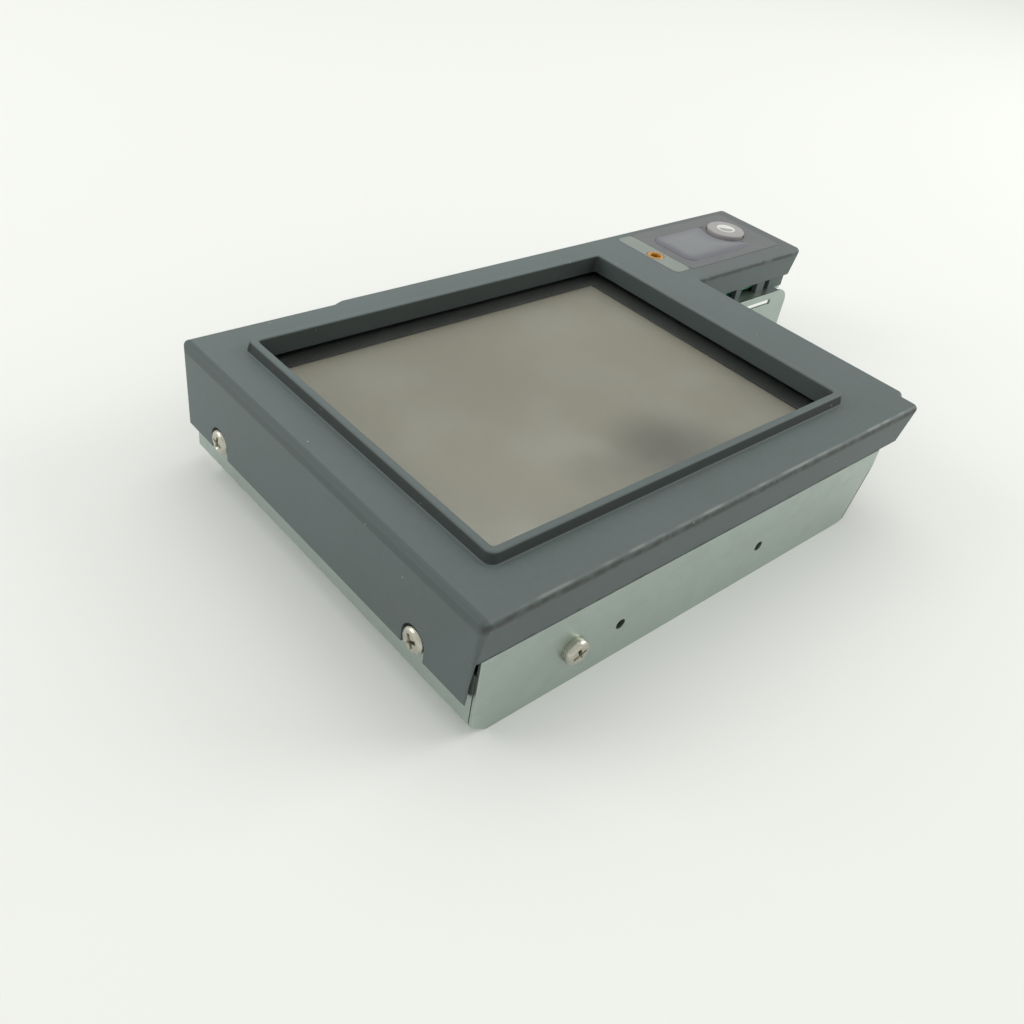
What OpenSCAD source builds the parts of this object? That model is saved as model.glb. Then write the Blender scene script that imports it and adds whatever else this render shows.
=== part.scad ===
// Operator panel with a touch display, a plastic bezel, a sheet-metal chassis and a key wing.
// It lies on its chassis with the screen up.  X runs along the long side towards the wing,
// Y towards the connectors, Z out of the screen.  Sizes are millimetres.
// Inside the modules the front left corner of the bezel's top face is the zero point, and
// place() carries every piece to the middle of the whole object's base.

/* [Bezel] */
// Length of the bezel without the wing
panel_w = 168; // [162:1:215]
// Depth of the bezel, front to back
panel_d = 126.2; // [125:0.2:160]
// Thickness of the plastic
shell_t = 2.4; // [1.8:0.1:3]
// Height of the tall skirt on the left
left_skirt_h = 25.4; // [24:0.1:29]
// Height of the other skirts of the main part
skirt_h = 12.8; // [11:0.1:13.4]
// How far the front skirt leans in at its foot
front_draft = 1.6; // [0.5:0.1:2]
// Bevel along the top edges
edge_bevel = 1.7; // [0.5:0.1:2.2]
// How far the back edge steps out
back_step = 1.2; // [0:0.1:2]
// Where the back edge steps out, from the left
back_step_x = 50; // [30:1:90]
// Width of the relief at the front right corner
relief_w = 2.4; // [0:0.1:3]
// Depth of the relief at the front right corner
relief_d = 6.6; // [3:0.1:12]

/* [Window and display] */
// Width of the lit area
active_w = 115.2; // [96:0.2:118]
// Depth of the lit area
active_d = 86.4; // [72:0.2:88]
// Dark border left and right of the lit area
border_x = 6; // [3:0.1:7]
// Dark border before and behind the lit area
border_y = 5; // [3:0.1:6]
// Left edge of the window from the bezel's left face
window_x = 14.8; // [12:0.1:16]
// Front edge of the window from the bezel's front face
window_y = 15.8; // [14.5:0.1:17]
// Width of the raised rim round the window
rim_w = 2.8; // [1.5:0.1:4]
// Height of the raised rim
rim_h = 3; // [1:0.1:4]
// Thickness of the touch film
film_t = 0.2; // [0.2:0.1:0.4]
// Thickness of the touch glass
glass_t = 1.2; // [0.8:0.1:2]
// Thickness of the display module
module_t = 8; // [7.4:0.1:9]

/* [Wing] */
// How far the wing reaches past the bezel
wing_w = 60; // [58:1:80]
// Depth of the wing, front to back
wing_d = 38.2; // [37:0.2:46]
// Height of the wing's skirt
wing_skirt_h = 10.3; // [8:0.1:12]
// Radius of the round button
button_r = 7; // [5:0.1:7.2]
// Height of the round button above the bezel
button_h = 1.7; // [1.2:0.1:3]
// Travel of the round button
button_travel = 1; // [0.4:0.1:1.2]
// Length of the pad key
pad_w = 33.5; // [28:0.5:36]
// Depth of the pad key
pad_d = 19.5; // [16:0.5:21]
// Height of the pad key above the bezel
pad_h = 1.1; // [0.8:0.1:2]
// Travel of the pad key
pad_travel = 0.7; // [0.3:0.1:0.8]

/* [Chassis] */
// From the bezel's top face to the underside of the chassis
body_h = 37.3; // [36:0.1:46]
// Thickness of the sheet metal
sheet_t = 1; // [0.8:0.1:1.2]
// Gap between the bezel's left wall and the chassis
chassis_gap = 0.2; // [0.1:0.1:0.8]
// How far the chassis floor stops short of the bezel's back face
floor_back = 9.7; // [8:0.1:14]
// Distance between the two side mounting holes
mount_pitch = 54.4; // [40:0.2:70]
// Diameter of the side mounting holes
mount_d = 3; // [2.5:0.1:4]
// Width of the slanted strip between the left wall and the floor
foot_bevel_w = 5; // [3:0.1:6]
// Height of the slanted strip between the left wall and the floor
foot_bevel_h = 3.7; // [2.5:0.1:5]

/* [Fasteners] */
// Radius of the case screws
screw_r = 2; // [1.5:0.1:2]
// Radius of the case screws' heads
head_r = 3.6; // [3:0.1:3.6]
// Height of the case screws' heads
head_h = 2.6; // [2:0.1:2.8]
// Thickness of the washers under the side screws
washer_t = 0.8; // [0.5:0.1:1]
// Radius of the small screws
small_r = 1.25; // [1:0.05:1.25]

/* [Clearances] */
// Gap round a key that moves
key_gap = 0.3; // [0.2:0.05:0.4]
// Gap between a screw and its thread
thread_gap = 0.05; // [0.02:0.01:0.1]
// Gap between a screw and a plain hole
hole_gap = 0.3; // [0.2:0.05:0.4]
// Gap between pieces that lie beside each other
fit_gap = 0.3; // [0.2:0.05:0.4]

/* [Hidden] */
$fn = 48;

eps = 0.01;
// Outline of the bezel
back_y = panel_d + back_step;
wing_x = panel_w + wing_w;
wing_y = panel_d - wing_d;
outline = [[0, 0], [panel_w - relief_w, 0], [panel_w - relief_w, relief_d], [panel_w, relief_d],
    [panel_w, wing_y], [wing_x, wing_y], [wing_x, back_y], [back_step_x, back_y],
    [back_step_x - 3, panel_d], [0, panel_d]];
// The short slant of the back edge stays sharp
slant_edge = 7;
left_end_y = 2.5;
// Window, touch panel and display, as [x0, y0, x1, y1]
function grow(box, by) = [box[0] - by, box[1] - by, box[2] + by, box[3] + by];
window = [window_x, window_y, window_x + active_w + 2 * border_x, window_y + active_d + 2 * border_y];
active = [window_x + border_x, window_y + border_y,
    window_x + border_x + active_w, window_y + border_y + active_d];
touch = grow(window, 4);
module_box = [touch[0] - 4, touch[1], touch[2] + 4, touch[3]];
window_r = 1.5;
lip_t = 0.3;
gasket_t = 0.5;
gasket_in = 0.8;
gasket_w = 2.6;
frame_t = 0.6;
cell_t = 2;
diffuser_t = 0.6;
lcd_board_t = 1;
tray_t = 0.8;
pad_foam_t = 1;
lip_z = -shell_t - lip_t;
film_z = lip_z - gasket_t;
glass_z = film_z - film_t;
module_z = glass_z - glass_t;
cell_z = module_z - frame_t;
diffuser_z = cell_z - cell_t;
guide_z = diffuser_z - diffuser_t;
lcd_board_z = module_z - module_t + lcd_board_t;
tray_z = lcd_board_z + tray_t;
lamp_r = 1.2;
lamp_band = 4;
foam_z = module_z - module_t;
bracket_z = foam_z - pad_foam_t;
// Bosses of the bezel that hold the display bracket
boss_r = 2.75;
boss_gap = 1.05;
boss_x = [module_box[0] + 5, module_box[2] - 5];
boss_y = [module_box[1] - boss_gap - boss_r - 0.4, module_box[3] + boss_gap + boss_r];
bosses = [for (x = boss_x, y = boss_y) [x, y]];
// Chassis
chassis_in = shell_t + chassis_gap;
floor_y = panel_d - floor_back;
floor_z = -body_h;
flange_top = bracket_z - sheet_t - 0.2;
chassis_x1 = module_box[2] + 4.6;
foot_x1 = chassis_x1 - 8;
side_knee_z = -18.6;
tail_y = panel_d - 1.2;
left_foot_z = floor_z + foot_bevel_h;
flange_hole_z = floor_z + 10.8;
side_screw_z = floor_z + 15.6;
side_screw_y = [window[1] + 5.2, window[3] - 4.6];
notch_r = head_r + 0.5;
washer_r = head_r - 0.1;
flange_screw_x = window[0] + 17;
flange_screw_z = floor_z + 11.8;
mount_x0 = flange_screw_x + 16.2;
tab_foot_z = floor_z + 6;
corner_gap = 5;
slot_foot_z = -18;
// Boards
board_t = 1.6;
standoff_h = 6.2;
board_z = bracket_z - sheet_t - standoff_h;
board_under = board_z - board_t;
board = [module_box[0] + 5.2, module_box[1] + 3, active[2] - 22, floor_y - 8.5];
inverter = [board[2] + 4, board[1] + 4, board[2] + 24, board[1] + 74];
board_holes = [for (x = [board[0] + 5, board[2] - 5], y = [board[1] + 5, board[3] - 12]) [x, y]];
inverter_holes = [for (y = [inverter[1] + 5, inverter[3] - 5]) [(inverter[0] + inverter[2]) / 2, y]];
standoff_r = 2.6;
connector_h = 9;
connector_len = 17.5;
connector_out = 1.5;
connector_y = floor_y + connector_out;
power_w = 20;
data_w = 36;
power_x = board[0] + 32;
data_x = power_x + power_w + 10;
socket_depth = 7;
socket_wall = 1.6;
ribbon_t = 0.3;
ribbon_w = 26;
ribbon_x = (board[0] + board[2]) / 2;
tail_w = 12;
tail_x = ribbon_x + 22;
key_ribbon_w = 8;
key_ribbon_y = board[3] - 4.6;
key_slot_x = module_box[2] + 1.6;
// Wing: strip, film, keys and what is under them
strip = [panel_w - 4, wing_y + 6.8, panel_w + 3.5, back_y - 3.4];
strip_gap = 0.2;
overlay = [strip[2] + strip_gap, strip[1] - 0.4, wing_x - 6, strip[3] + 0.2];
overlay_t = 0.25;
overlay_sunk = 0.15;
led_x = (strip[0] + strip[2]) / 2 - 0.4;
led_y = (strip[1] + strip[3]) / 2 - 1.4;
led_r = 2.5;
lens_r = 3.1;
pad = [panel_w + 8, wing_y + 10.6, panel_w + 8 + pad_w, wing_y + 10.6 + pad_d];
pad_r = 4;
button_x = pad[2] + 0.2;
button_y = pad[1] + 12.4;
key_lip = 0.9;
pad_cut_r = button_r + key_lip + 0.8;
lip_h = 1;
lip_top = -shell_t - 0.15;
stem_r = 2.2;
key_board_t = 1.2;
spacer_h = 1.6;
shelf_z = -15.4;
key_board_z = shelf_z + spacer_h + key_board_t;
key_board_box = [strip[0] - 4, wing_y + 4.6, wing_x - 6.4, back_y - 5];
switch_w = 6;
switch_h = 3.5;
actuator_h = 0.7;
actuator_r = 1.6;
actuator_top = key_board_z + switch_h + actuator_h;
press_gap = 0.2;
keys = [[(pad[0] + pad[2]) / 2 - 4.5, (pad[1] + pad[3]) / 2], [button_x, button_y]];
wing_bosses = [[strip[2] - 1.5, wing_y + 8.5], [strip[2] + 2, back_y - 7.6],
    [wing_x - 9.6, back_y - 7.6], [wing_x - 9.6, wing_y + 8.5]];
spring_wire = 0.5;
spring_r = 5.2;
spring_turns = 4;
rib_y = wing_y + 2.6;
rib_t = 1.8;
// Ribs behind the open foot of the wing's front skirt, as distances back from the wing's end
ribs = [[31, 28], [18.5, 14], [11, 4.2]];
lip_x0 = panel_w - 9;
lip_x1 = wing_x - 1.2;
lip_corner_r = 5.5;
lip_slot_x = wing_x - 28;
lip_slot_len = 16.7;
lip_slot_h = 2;
lip_foot_z = floor_z + 1.2;

// Moves the work coordinates to the middle of the object's base
low_x = min(0, chassis_in - washer_t - head_h);
low_y = front_draft - head_h;
module place() {
    translate([-(low_x + wing_x) / 2, -(low_y + back_y) / 2, body_h]) children();
}

// A rectangle with round corners, box = [x0, y0, x1, y1]
module rounded(box, r) {
    translate([box[0] + r, box[1]]) square([box[2] - box[0] - 2 * r, box[3] - box[1]]);
    translate([box[0], box[1] + r]) square([box[2] - box[0], box[3] - box[1] - 2 * r]);
    for (x = [box[0] + r, box[2] - r], y = [box[1] + r, box[3] - r]) translate([x, y]) circle(r);
}

// A flat slab with its top at z
module slab(box, z, t) {
    translate([box[0], box[1], z - t]) cube([box[2] - box[0], box[3] - box[1], t]);
}

// A slab with round corners and its top at z
module plate(box, r, z, t) {
    translate([0, 0, z - t]) linear_extrude(t) rounded(box, r);
}

// An upright post from z0 up to z1
module post(at, r, z0, z1) {
    translate([at[0], at[1], z0]) cylinder(r = r, h = z1 - z0);
}

// A pan-head screw along +Z: the head lies below zero and the shank above
module pan_screw(r, length, head_r, head_h) {
    slot_w = head_r * 0.28;
    slot_l = head_r * 1.15;
    difference() {
        union() {
            cylinder(r = r, h = length);
            translate([0, 0, -head_h * 0.55]) cylinder(r = head_r, h = head_h * 0.55);
            translate([0, 0, -head_h]) cylinder(r1 = head_r * 0.72, r2 = head_r, h = head_h * 0.45);
        }
        for (turn = [0, 90]) rotate([0, 0, turn])
            translate([-slot_l / 2, -slot_w / 2, -head_h - eps]) cube([slot_l, slot_w, head_h * 0.6]);
    }
}

// A flat strip that follows points in a plane: x is across, the path is in y and z
module strip_path(x, w, t, path) {
    steps = len(path) - 1;
    for (i = [0 : steps - 1]) {
        low = [min(path[i][0], path[i + 1][0]), min(path[i][1], path[i + 1][1])];
        size = [abs(path[i][0] - path[i + 1][0]), abs(path[i][1] - path[i + 1][1])];
        translate([x - w / 2, low[0], low[1]]) cube([w, size[0] + t, size[1] + t]);
    }
}

// A coil spring that stands on z0 and ends at z1
function spring_point(z0, z1, s) = let (a = 360 * spring_turns * s)
    [spring_r * cos(a), spring_r * sin(a), z0 + spring_wire / 2 + (z1 - z0 - spring_wire) * s];
module coil(z0, z1) {
    sides = 6;
    rings = 16 * spring_turns;
    points = [for (i = [0 : rings], j = [0 : sides - 1])
        let (p = spring_point(z0, z1, i / rings), a = 360 * spring_turns * i / rings, b = 360 * j / sides)
        p + spring_wire / 2 * [cos(a) * cos(b), sin(a) * cos(b), sin(b)]];
    skin = [for (i = [0 : rings - 1], j = [0 : sides - 1]) let (k = (j + 1) % sides)
        [i * sides + j, i * sides + k, (i + 1) * sides + k, (i + 1) * sides + j]];
    first = [for (j = [sides - 1 : -1 : 0]) j];
    last = [for (j = [0 : sides - 1]) rings * sides + j];
    polyhedron(points, concat([first], skin, [last]), convexity = 6);
}

// ---------------------------------------------------------------- bezel

// Wedge that bevels one straight top edge of the outline, from a to b
module edge_cut(a, b) {
    d = b - a;
    translate([a[0], a[1], 0]) rotate([0, 0, atan2(d[1], d[0])]) rotate([90, 0, 90])
        translate([0, 0, -0.05]) linear_extrude(norm(d) + 0.1)
            polygon([[-1, 1], [edge_bevel + 1, 1], [-1, -edge_bevel - 1]]);
}

module bezel_skin() {
    difference() {
        union() {
            translate([0, 0, -skirt_h]) linear_extrude(skirt_h) difference() {
                polygon(outline);
                translate([panel_w, wing_y - 1]) square([wing_w + 1, wing_d + back_step + 2]);
            }
            translate([panel_w - 1, wing_y, -wing_skirt_h])
                cube([wing_w + 1, wing_d + back_step, wing_skirt_h]);
            translate([0, left_end_y, -left_skirt_h])
                cube([shell_t, panel_d - left_end_y, left_skirt_h - shell_t]);
            plate(grow(window, rim_w), window_r + rim_w / 2, rim_h, rim_h + eps);
            plate(grow(window, rim_w), window_r, lip_z + lip_t + eps, lip_t + 2 * eps);
        }
        // Hollow of the main part
        translate([shell_t, front_draft + shell_t, -skirt_h - 1])
            cube([panel_w - 2 * shell_t - relief_w, panel_d - front_draft - 2 * shell_t,
                skirt_h + 1 - shell_t]);
        // Hollow of the wing and of the way to it
        translate([panel_w - relief_w - shell_t - 1, wing_y + shell_t, -skirt_h - 1])
            cube([wing_w + relief_w + 1, panel_d + back_step - wing_y - 2 * shell_t,
                skirt_h + 1 - shell_t]);
        // Lean of the front skirt
        rotate([90, 0, 90]) translate([0, 0, -1]) linear_extrude(panel_w + 2)
            polygon([[-eps, 0], [-eps, -skirt_h - 1], [front_draft, -skirt_h - 1],
                [front_draft, -skirt_h], [0, -edge_bevel]]);
        for (i = [0 : len(outline) - 1]) if (i != slant_edge)
            edge_cut(outline[i], outline[(i + 1) % len(outline)]);
    }
    // Lip of the window, below the plate
    difference() {
        plate(grow(window, rim_w), window_r, -shell_t, lip_t);
        plate(window, window_r, -shell_t + 1, lip_t + 2);
    }
}

module front_bezel() {
    color("#5d646b") place() difference() {
        union() {
            bezel_skin();
            for (at = bosses) post(at, boss_r, bracket_z, -shell_t + eps);
            for (at = wing_bosses) post(at, boss_r, key_board_z, -shell_t + eps);
            for (rib = ribs) translate([wing_x - rib[0], rib_y, shelf_z])
                cube([rib[0] - rib[1], rib_t, -shell_t - shelf_z + eps]);
            translate([wing_x - shell_t - rib_t, rib_y, shelf_z])
                cube([rib_t, back_y - shell_t - rib_y, -shell_t - shelf_z + eps]);
        }
        plate(window, window_r, rim_h + 1, rim_h + shell_t + lip_t + 2);
        for (at = bosses) post(at, small_r + thread_gap, bracket_z - 1, -shell_t - 1);
        for (at = wing_bosses) post(at, small_r + thread_gap, key_board_z - 1, -shell_t - 1);
        // Notches for the heads of the side screws
        for (y = side_screw_y) {
            translate([-1, y, side_screw_z]) rotate([0, 90, 0]) cylinder(r = notch_r, h = shell_t + 2);
            translate([-1, y - notch_r, -left_skirt_h - 1])
                cube([shell_t + 2, 2 * notch_r, side_screw_z + left_skirt_h + 1]);
        }
        // Seats and holes of the wing's film, strip, lens and keys
        plate(grow(overlay, 0.1), 2.1, 1, 1 + overlay_sunk);
        plate(grow(strip, 0.1), 2.1, 1, 1 + overlay_sunk);
        post([led_x, led_y], lens_r + thread_gap, -shell_t - 1, 1);
        post([button_x, button_y], button_r + key_gap, -shell_t - 1, 1);
        translate([0, 0, -shell_t - 1]) linear_extrude(shell_t + 2) pad_shape(key_gap);
    }
}

// ---------------------------------------------------------------- touch panel and display

module window_gasket() {
    color("#1b1c1d") place() difference() {
        plate(grow(window, gasket_in + gasket_w), window_r, lip_z, gasket_t);
        plate(grow(window, gasket_in), window_r, lip_z + 1, gasket_t + 2);
    }
}

module touch_film() {
    color("#8d857a") place() slab(grow(touch, -0.5), film_z, film_t);
}

module touch_glass() {
    color("#b8c4c0") place() slab(touch, glass_z, glass_t);
}

module lcd_frame() {
    color("#161718") place() difference() {
        slab(module_box, module_z, module_t);
        slab(grow(module_box, -frame_t), cell_z, module_t);
        slab(grow(active, 1), module_z + 1, frame_t + 2);
    }
}

inside_module = grow(module_box, -frame_t - fit_gap);

module lcd_glass() {
    color("#7d756b") place() slab(inside_module, cell_z, cell_t);
}

module diffuser_sheet() {
    color("#f2f2ee") place() slab(inside_module, diffuser_z, diffuser_t);
}

module light_guide() {
    b = inside_module;
    color("#dfe8ea") place() slab([b[0], b[1] + lamp_band, b[2], b[3]], guide_z, guide_z - tray_z);
}

module backlight_lamp() {
    b = inside_module;
    color("#f7f3e6") place() translate([b[0] + 3, b[1] + lamp_band / 2, (guide_z + tray_z) / 2])
        rotate([0, 90, 0]) cylinder(r = lamp_r, h = b[2] - b[0] - 6);
}

module lcd_tray() {
    color("#c9ced0") place() slab(inside_module, tray_z, tray_t);
}

module lcd_board() {
    b = inside_module;
    color("#2c6e49") place() slab([b[0] + 8, b[1] + 20, b[2] - 8, b[3] - 2], lcd_board_z, lcd_board_t);
}

module lcd_pads() {
    b = module_box;
    strip_d = 8;
    color("#2a2b2c") place() {
        slab([b[0] + 2, b[1] + 6, b[2] - 2, b[1] + 6 + strip_d], lcd_board_z, lcd_board_z - bracket_z);
        slab([b[0] + 12, b[3] - 6 - strip_d, b[2] - 12, b[3] - 6], foam_z, pad_foam_t);
    }
}

// Sheet-metal frame behind the display: its tabs take the case screws
bracket_box = [chassis_in + sheet_t, front_draft + sheet_t, chassis_x1 + 2,
    max(boss_y[1] + boss_r, floor_y)];
module display_bracket() {
    b = bracket_box;
    back_tab_y = floor_y - 2 * sheet_t;
    color("#a9b3ab") place() difference() {
        union() {
            slab(b, bracket_z, sheet_t);
            slab([b[0], b[1] + corner_gap, b[0] + sheet_t, floor_y - 4], bracket_z, bracket_z - tab_foot_z);
            slab([b[0] + corner_gap, b[1], mount_x0 - 8, b[1] + sheet_t], bracket_z,
                bracket_z - tab_foot_z);
            slab([flange_screw_x - 8, back_tab_y, flange_screw_x + 8, back_tab_y + sheet_t], bracket_z,
                bracket_z - tab_foot_z);
        }
        // Opening for the display's board and its cable
        plate(grow(active, -14), 6, bracket_z + 1, sheet_t + 2);
        // Room for the touch panel's tail
        slab([tail_x - tail_w / 2 - 2, b[1] + sheet_t, tail_x + tail_w / 2 + 2, module_box[1] + 1],
            bracket_z + 1, sheet_t + 2);
        // Slot for the key board's ribbon
        slab([key_slot_x - 0.6, key_ribbon_y - key_ribbon_w / 2 - 0.6, key_slot_x + 0.9,
            key_ribbon_y + key_ribbon_w / 2 + 0.6], bracket_z + 1, sheet_t + 2);
        for (at = bosses) post(at, small_r + hole_gap, bracket_z - 2, bracket_z + 1);
        for (at = concat(board_holes, inverter_holes))
            post(at, small_r + thread_gap, bracket_z - 2, bracket_z + 1);
        for (y = side_screw_y) translate([b[0] - 1, y, side_screw_z]) rotate([0, 90, 0])
            cylinder(r = screw_r + thread_gap, h = sheet_t + 2);
        translate([flange_screw_x, b[1] - 1, flange_screw_z]) rotate([-90, 0, 0])
            cylinder(r = screw_r + thread_gap, h = back_tab_y + 4);
    }
}

module bezel_screws() {
    color("#c9c4b6") place() for (at = bosses) translate([at[0], at[1], bracket_z - sheet_t])
        pan_screw(small_r, 6, 2.4, 1.7);
}

// ---------------------------------------------------------------- boards inside

module drilled_board(box, holes) {
    difference() {
        slab(box, board_z, board_t);
        for (at = holes) post(at, small_r + hole_gap, board_under - 1, board_z + 1);
    }
}

module main_board() {
    color("#1f6b45") place() drilled_board(board, board_holes);
}

module inverter_board() {
    color("#1f6b45") place() drilled_board(inverter, inverter_holes);
}

module board_standoffs() {
    color("#c8a95a") place() for (at = concat(board_holes, inverter_holes)) difference() {
        translate([at[0], at[1], board_z]) cylinder(r = standoff_r, h = standoff_h, $fn = 6);
        post(at, small_r + thread_gap, board_z - 1, board_z + standoff_h + 1);
    }
}

module board_screws() {
    color("#c9c4b6") place() for (at = concat(board_holes, inverter_holes))
        translate([at[0], at[1], board_under]) pan_screw(small_r, 5, 2.4, 1.7);
}

module main_chips() {
    mid_x = (board[0] + board[2]) / 2;
    mid_y = (board[1] + board[3]) / 2;
    color("#202225") place() {
        slab([mid_x - 12, mid_y - 12, mid_x + 12, mid_y + 12], board_under, 2.6);
        for (i = [0 : 3]) slab([board[0] + 14, mid_y - 24 + 13 * i, board[0] + 28, mid_y - 16 + 13 * i],
            board_under, 1.8);
        for (i = [0 : 1]) slab([board[2] - 24, mid_y - 12 + 16 * i, board[2] - 12, mid_y - 2 + 16 * i],
            board_under, 2.2);
    }
}

module capacitors() {
    cap_r = 4;
    cap_h = 10;
    color("#3b3f52") place() for (i = [0 : 2])
        post([board[2] - 26 - 11 * i, board[1] + 14], cap_r, board_under - cap_h, board_under);
}

module inverter_transformer() {
    x = (inverter[0] + inverter[2]) / 2;
    y = (inverter[1] + inverter[3]) / 2;
    color("#d9b44a") place() {
        slab([x - 7, y - 11, x + 7, y + 11], board_under, 8);
        slab([x - 6, y + 16, x + 6, y + 25], board_under, 5);
    }
}

// A board connector that opens through the back wall
module connector(x, w, ways) {
    z0 = board_under - connector_h;
    pin = 0.8;
    pitch = (w - 2 * socket_wall - 4) / (ways - 1);
    difference() {
        translate([x, connector_y - connector_len, z0]) cube([w, connector_len, connector_h]);
        translate([x + socket_wall, connector_y - socket_depth, z0 + socket_wall])
            cube([w - 2 * socket_wall, socket_depth + 1, connector_h - 2 * socket_wall]);
    }
    for (i = [0 : ways - 1]) translate([x + socket_wall + 2 + pitch * i - pin / 2,
        connector_y - socket_depth - eps, z0 + connector_h - socket_wall - 1.6])
        cube([pin, socket_depth - 2, pin]);
}

module power_connector() {
    color("#2f6a3c") place() connector(power_x, power_w, 3);
}

module data_connector() {
    color("#26282b") place() connector(data_x, data_w, 12);
}

module lcd_ribbon() {
    y = (board[1] + board[3]) / 2 + 12;
    color("#d8c9a0") place() strip_path(ribbon_x, ribbon_w, ribbon_t,
        [[y, board_z], [y + 6, board_z], [y + 6, lcd_board_z - lcd_board_t - ribbon_t],
        [y, lcd_board_z - lcd_board_t - ribbon_t]]);
}

module touch_tail() {
    y = touch[1] - 2.4;
    color("#c98f3a") place() strip_path(tail_x, tail_w, ribbon_t,
        [[touch[1] - ribbon_t, glass_z - glass_t / 2], [y, glass_z - glass_t / 2], [y, board_z],
        [board[1] + 6, board_z]]);
}

// ---------------------------------------------------------------- chassis

// Front wall of the chassis, drawn in x and z
module front_wall_shape() {
    polygon([[chassis_in, -skirt_h - 0.1], [chassis_x1, -skirt_h - 0.1], [chassis_x1, side_knee_z],
        [foot_x1 + 2.6, floor_z + 0.8], [foot_x1, floor_z], [chassis_in + foot_bevel_w, floor_z],
        [chassis_in, left_foot_z]]);
}

// Left wall, drawn in y and z, with a gap at the front corner
module left_wall_shape() {
    y0 = front_draft + sheet_t + 0.2;
    polygon([[y0, left_foot_z], [y0, slot_foot_z], [y0 + corner_gap, slot_foot_z],
        [y0 + corner_gap, flange_top], [tail_y, flange_top], [tail_y, left_foot_z]]);
}

// Slanted strip from the left wall to the floor, drawn in x and z
module foot_bevel_shape() {
    x0 = chassis_in;
    polygon([[x0, left_foot_z], [x0 + foot_bevel_w, floor_z], [x0 + foot_bevel_w + sheet_t, floor_z],
        [x0 + foot_bevel_w + sheet_t, floor_z + sheet_t], [x0 + foot_bevel_w, floor_z + sheet_t],
        [x0 + sheet_t, left_foot_z + 0.3], [x0, left_foot_z + 0.3]]);
}

module chassis_tray() {
    x0 = chassis_in;
    vent_pitch = 7;
    color("#a8b2a8") place() difference() {
        union() {
            // Floor
            slab([x0 + foot_bevel_w, front_draft + sheet_t / 2, foot_x1 - 0.5, floor_y],
                floor_z + sheet_t, sheet_t);
            translate([0, floor_y, 0]) rotate([90, 0, 0])
                linear_extrude(floor_y - front_draft - sheet_t / 2) foot_bevel_shape();
            translate([0, front_draft + sheet_t, 0]) rotate([90, 0, 0]) linear_extrude(sheet_t)
                front_wall_shape();
            translate([x0, 0, 0]) rotate([90, 0, 90]) linear_extrude(sheet_t) left_wall_shape();
            // Back wall
            slab([x0, floor_y - sheet_t, foot_x1 - 0.5, floor_y], flange_top, flange_top - left_foot_z);
            slab([x0 + foot_bevel_w, floor_y - sheet_t, foot_x1 - 0.5, floor_y], left_foot_z + eps,
                foot_bevel_h);
            // Right wall, which leans out
            translate([0, floor_y, 0]) rotate([90, 0, 0])
                linear_extrude(floor_y - front_draft - 2 * sheet_t)
                polygon([[foot_x1 - 2, floor_z], [foot_x1 - 0.5, floor_z],
                    [chassis_x1 - 1, side_knee_z], [chassis_x1 - 1, flange_top],
                    [chassis_x1 - 1 - sheet_t, flange_top], [chassis_x1 - 1 - sheet_t, side_knee_z],
                    [foot_x1 - 0.5 - sheet_t, floor_z + sheet_t]]);
        }
        for (y = side_screw_y) translate([x0 - 1, y, side_screw_z]) rotate([0, 90, 0])
            cylinder(r = screw_r + hole_gap, h = sheet_t + 2);
        // A screw hole in the front and back walls, and two mounting holes in the front wall
        translate([flange_screw_x, front_draft - 1, flange_screw_z]) rotate([-90, 0, 0])
            cylinder(r = screw_r + hole_gap, h = floor_y + 2);
        for (x = [mount_x0, mount_x0 + mount_pitch]) translate([x, front_draft - 1, flange_hole_z])
            rotate([-90, 0, 0]) cylinder(d = mount_d, h = sheet_t + 2);
        // Openings for the connectors
        for (c = [[power_x, power_w], [data_x, data_w]])
            translate([c[0] - fit_gap, floor_y - sheet_t - 1, board_under - connector_h - fit_gap])
                cube([c[1] + 2 * fit_gap, sheet_t + 2, connector_h + 2 * fit_gap]);
        // Air slots in the floor
        for (row = [0, 1], i = [0 : 8])
            plate([window[0] + 20 + vent_pitch * i, window[1] + 12 + 38 * row,
                window[0] + 23 + vent_pitch * i, window[1] + 38 + 38 * row], 1.49, floor_z + 2, 4);
    }
}

module side_screws() {
    color("#c9c4b6") place() for (y = side_screw_y)
        translate([chassis_in - washer_t, y, side_screw_z]) rotate([0, 90, 0]) rotate([0, 0, 28])
            pan_screw(screw_r, 6, head_r, head_h);
}

module side_washers() {
    color("#bdb9ae") place() for (y = side_screw_y)
        translate([chassis_in - washer_t, y, side_screw_z]) rotate([0, 90, 0]) difference() {
            cylinder(r = washer_r, h = washer_t);
            translate([0, 0, -1]) cylinder(r = screw_r + thread_gap, h = washer_t + 2);
        }
}

module flange_screws() {
    color("#c9c4b6") place() {
        translate([flange_screw_x, front_draft, flange_screw_z]) rotate([-90, 0, 0]) rotate([0, 0, 20])
            pan_screw(screw_r, 6, head_r, head_h);
        translate([flange_screw_x, floor_y, flange_screw_z]) rotate([90, 0, 0]) rotate([0, 0, 50])
            pan_screw(screw_r, 6, head_r, head_h);
    }
}

// ---------------------------------------------------------------- wing

// Outline of the pad key, which leaves room for the round button; by makes it larger
module pad_shape(by) {
    difference() {
        rounded(grow(pad, by), pad_r + by);
        translate([button_x, button_y]) circle(pad_cut_r - by);
    }
}

module wing_overlay() {
    color("#77757f") place() difference() {
        plate(overlay, 2, overlay_t - overlay_sunk, overlay_t);
        post([button_x, button_y], button_r + key_gap, -2, 2);
        translate([0, 0, -2]) linear_extrude(4) pad_shape(key_gap);
    }
}

module status_strip() {
    color("#a0a5a6") place() difference() {
        plate(strip, 2, overlay_t - overlay_sunk, overlay_t);
        post([led_x, led_y], lens_r + thread_gap, -2, 2);
    }
}

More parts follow.
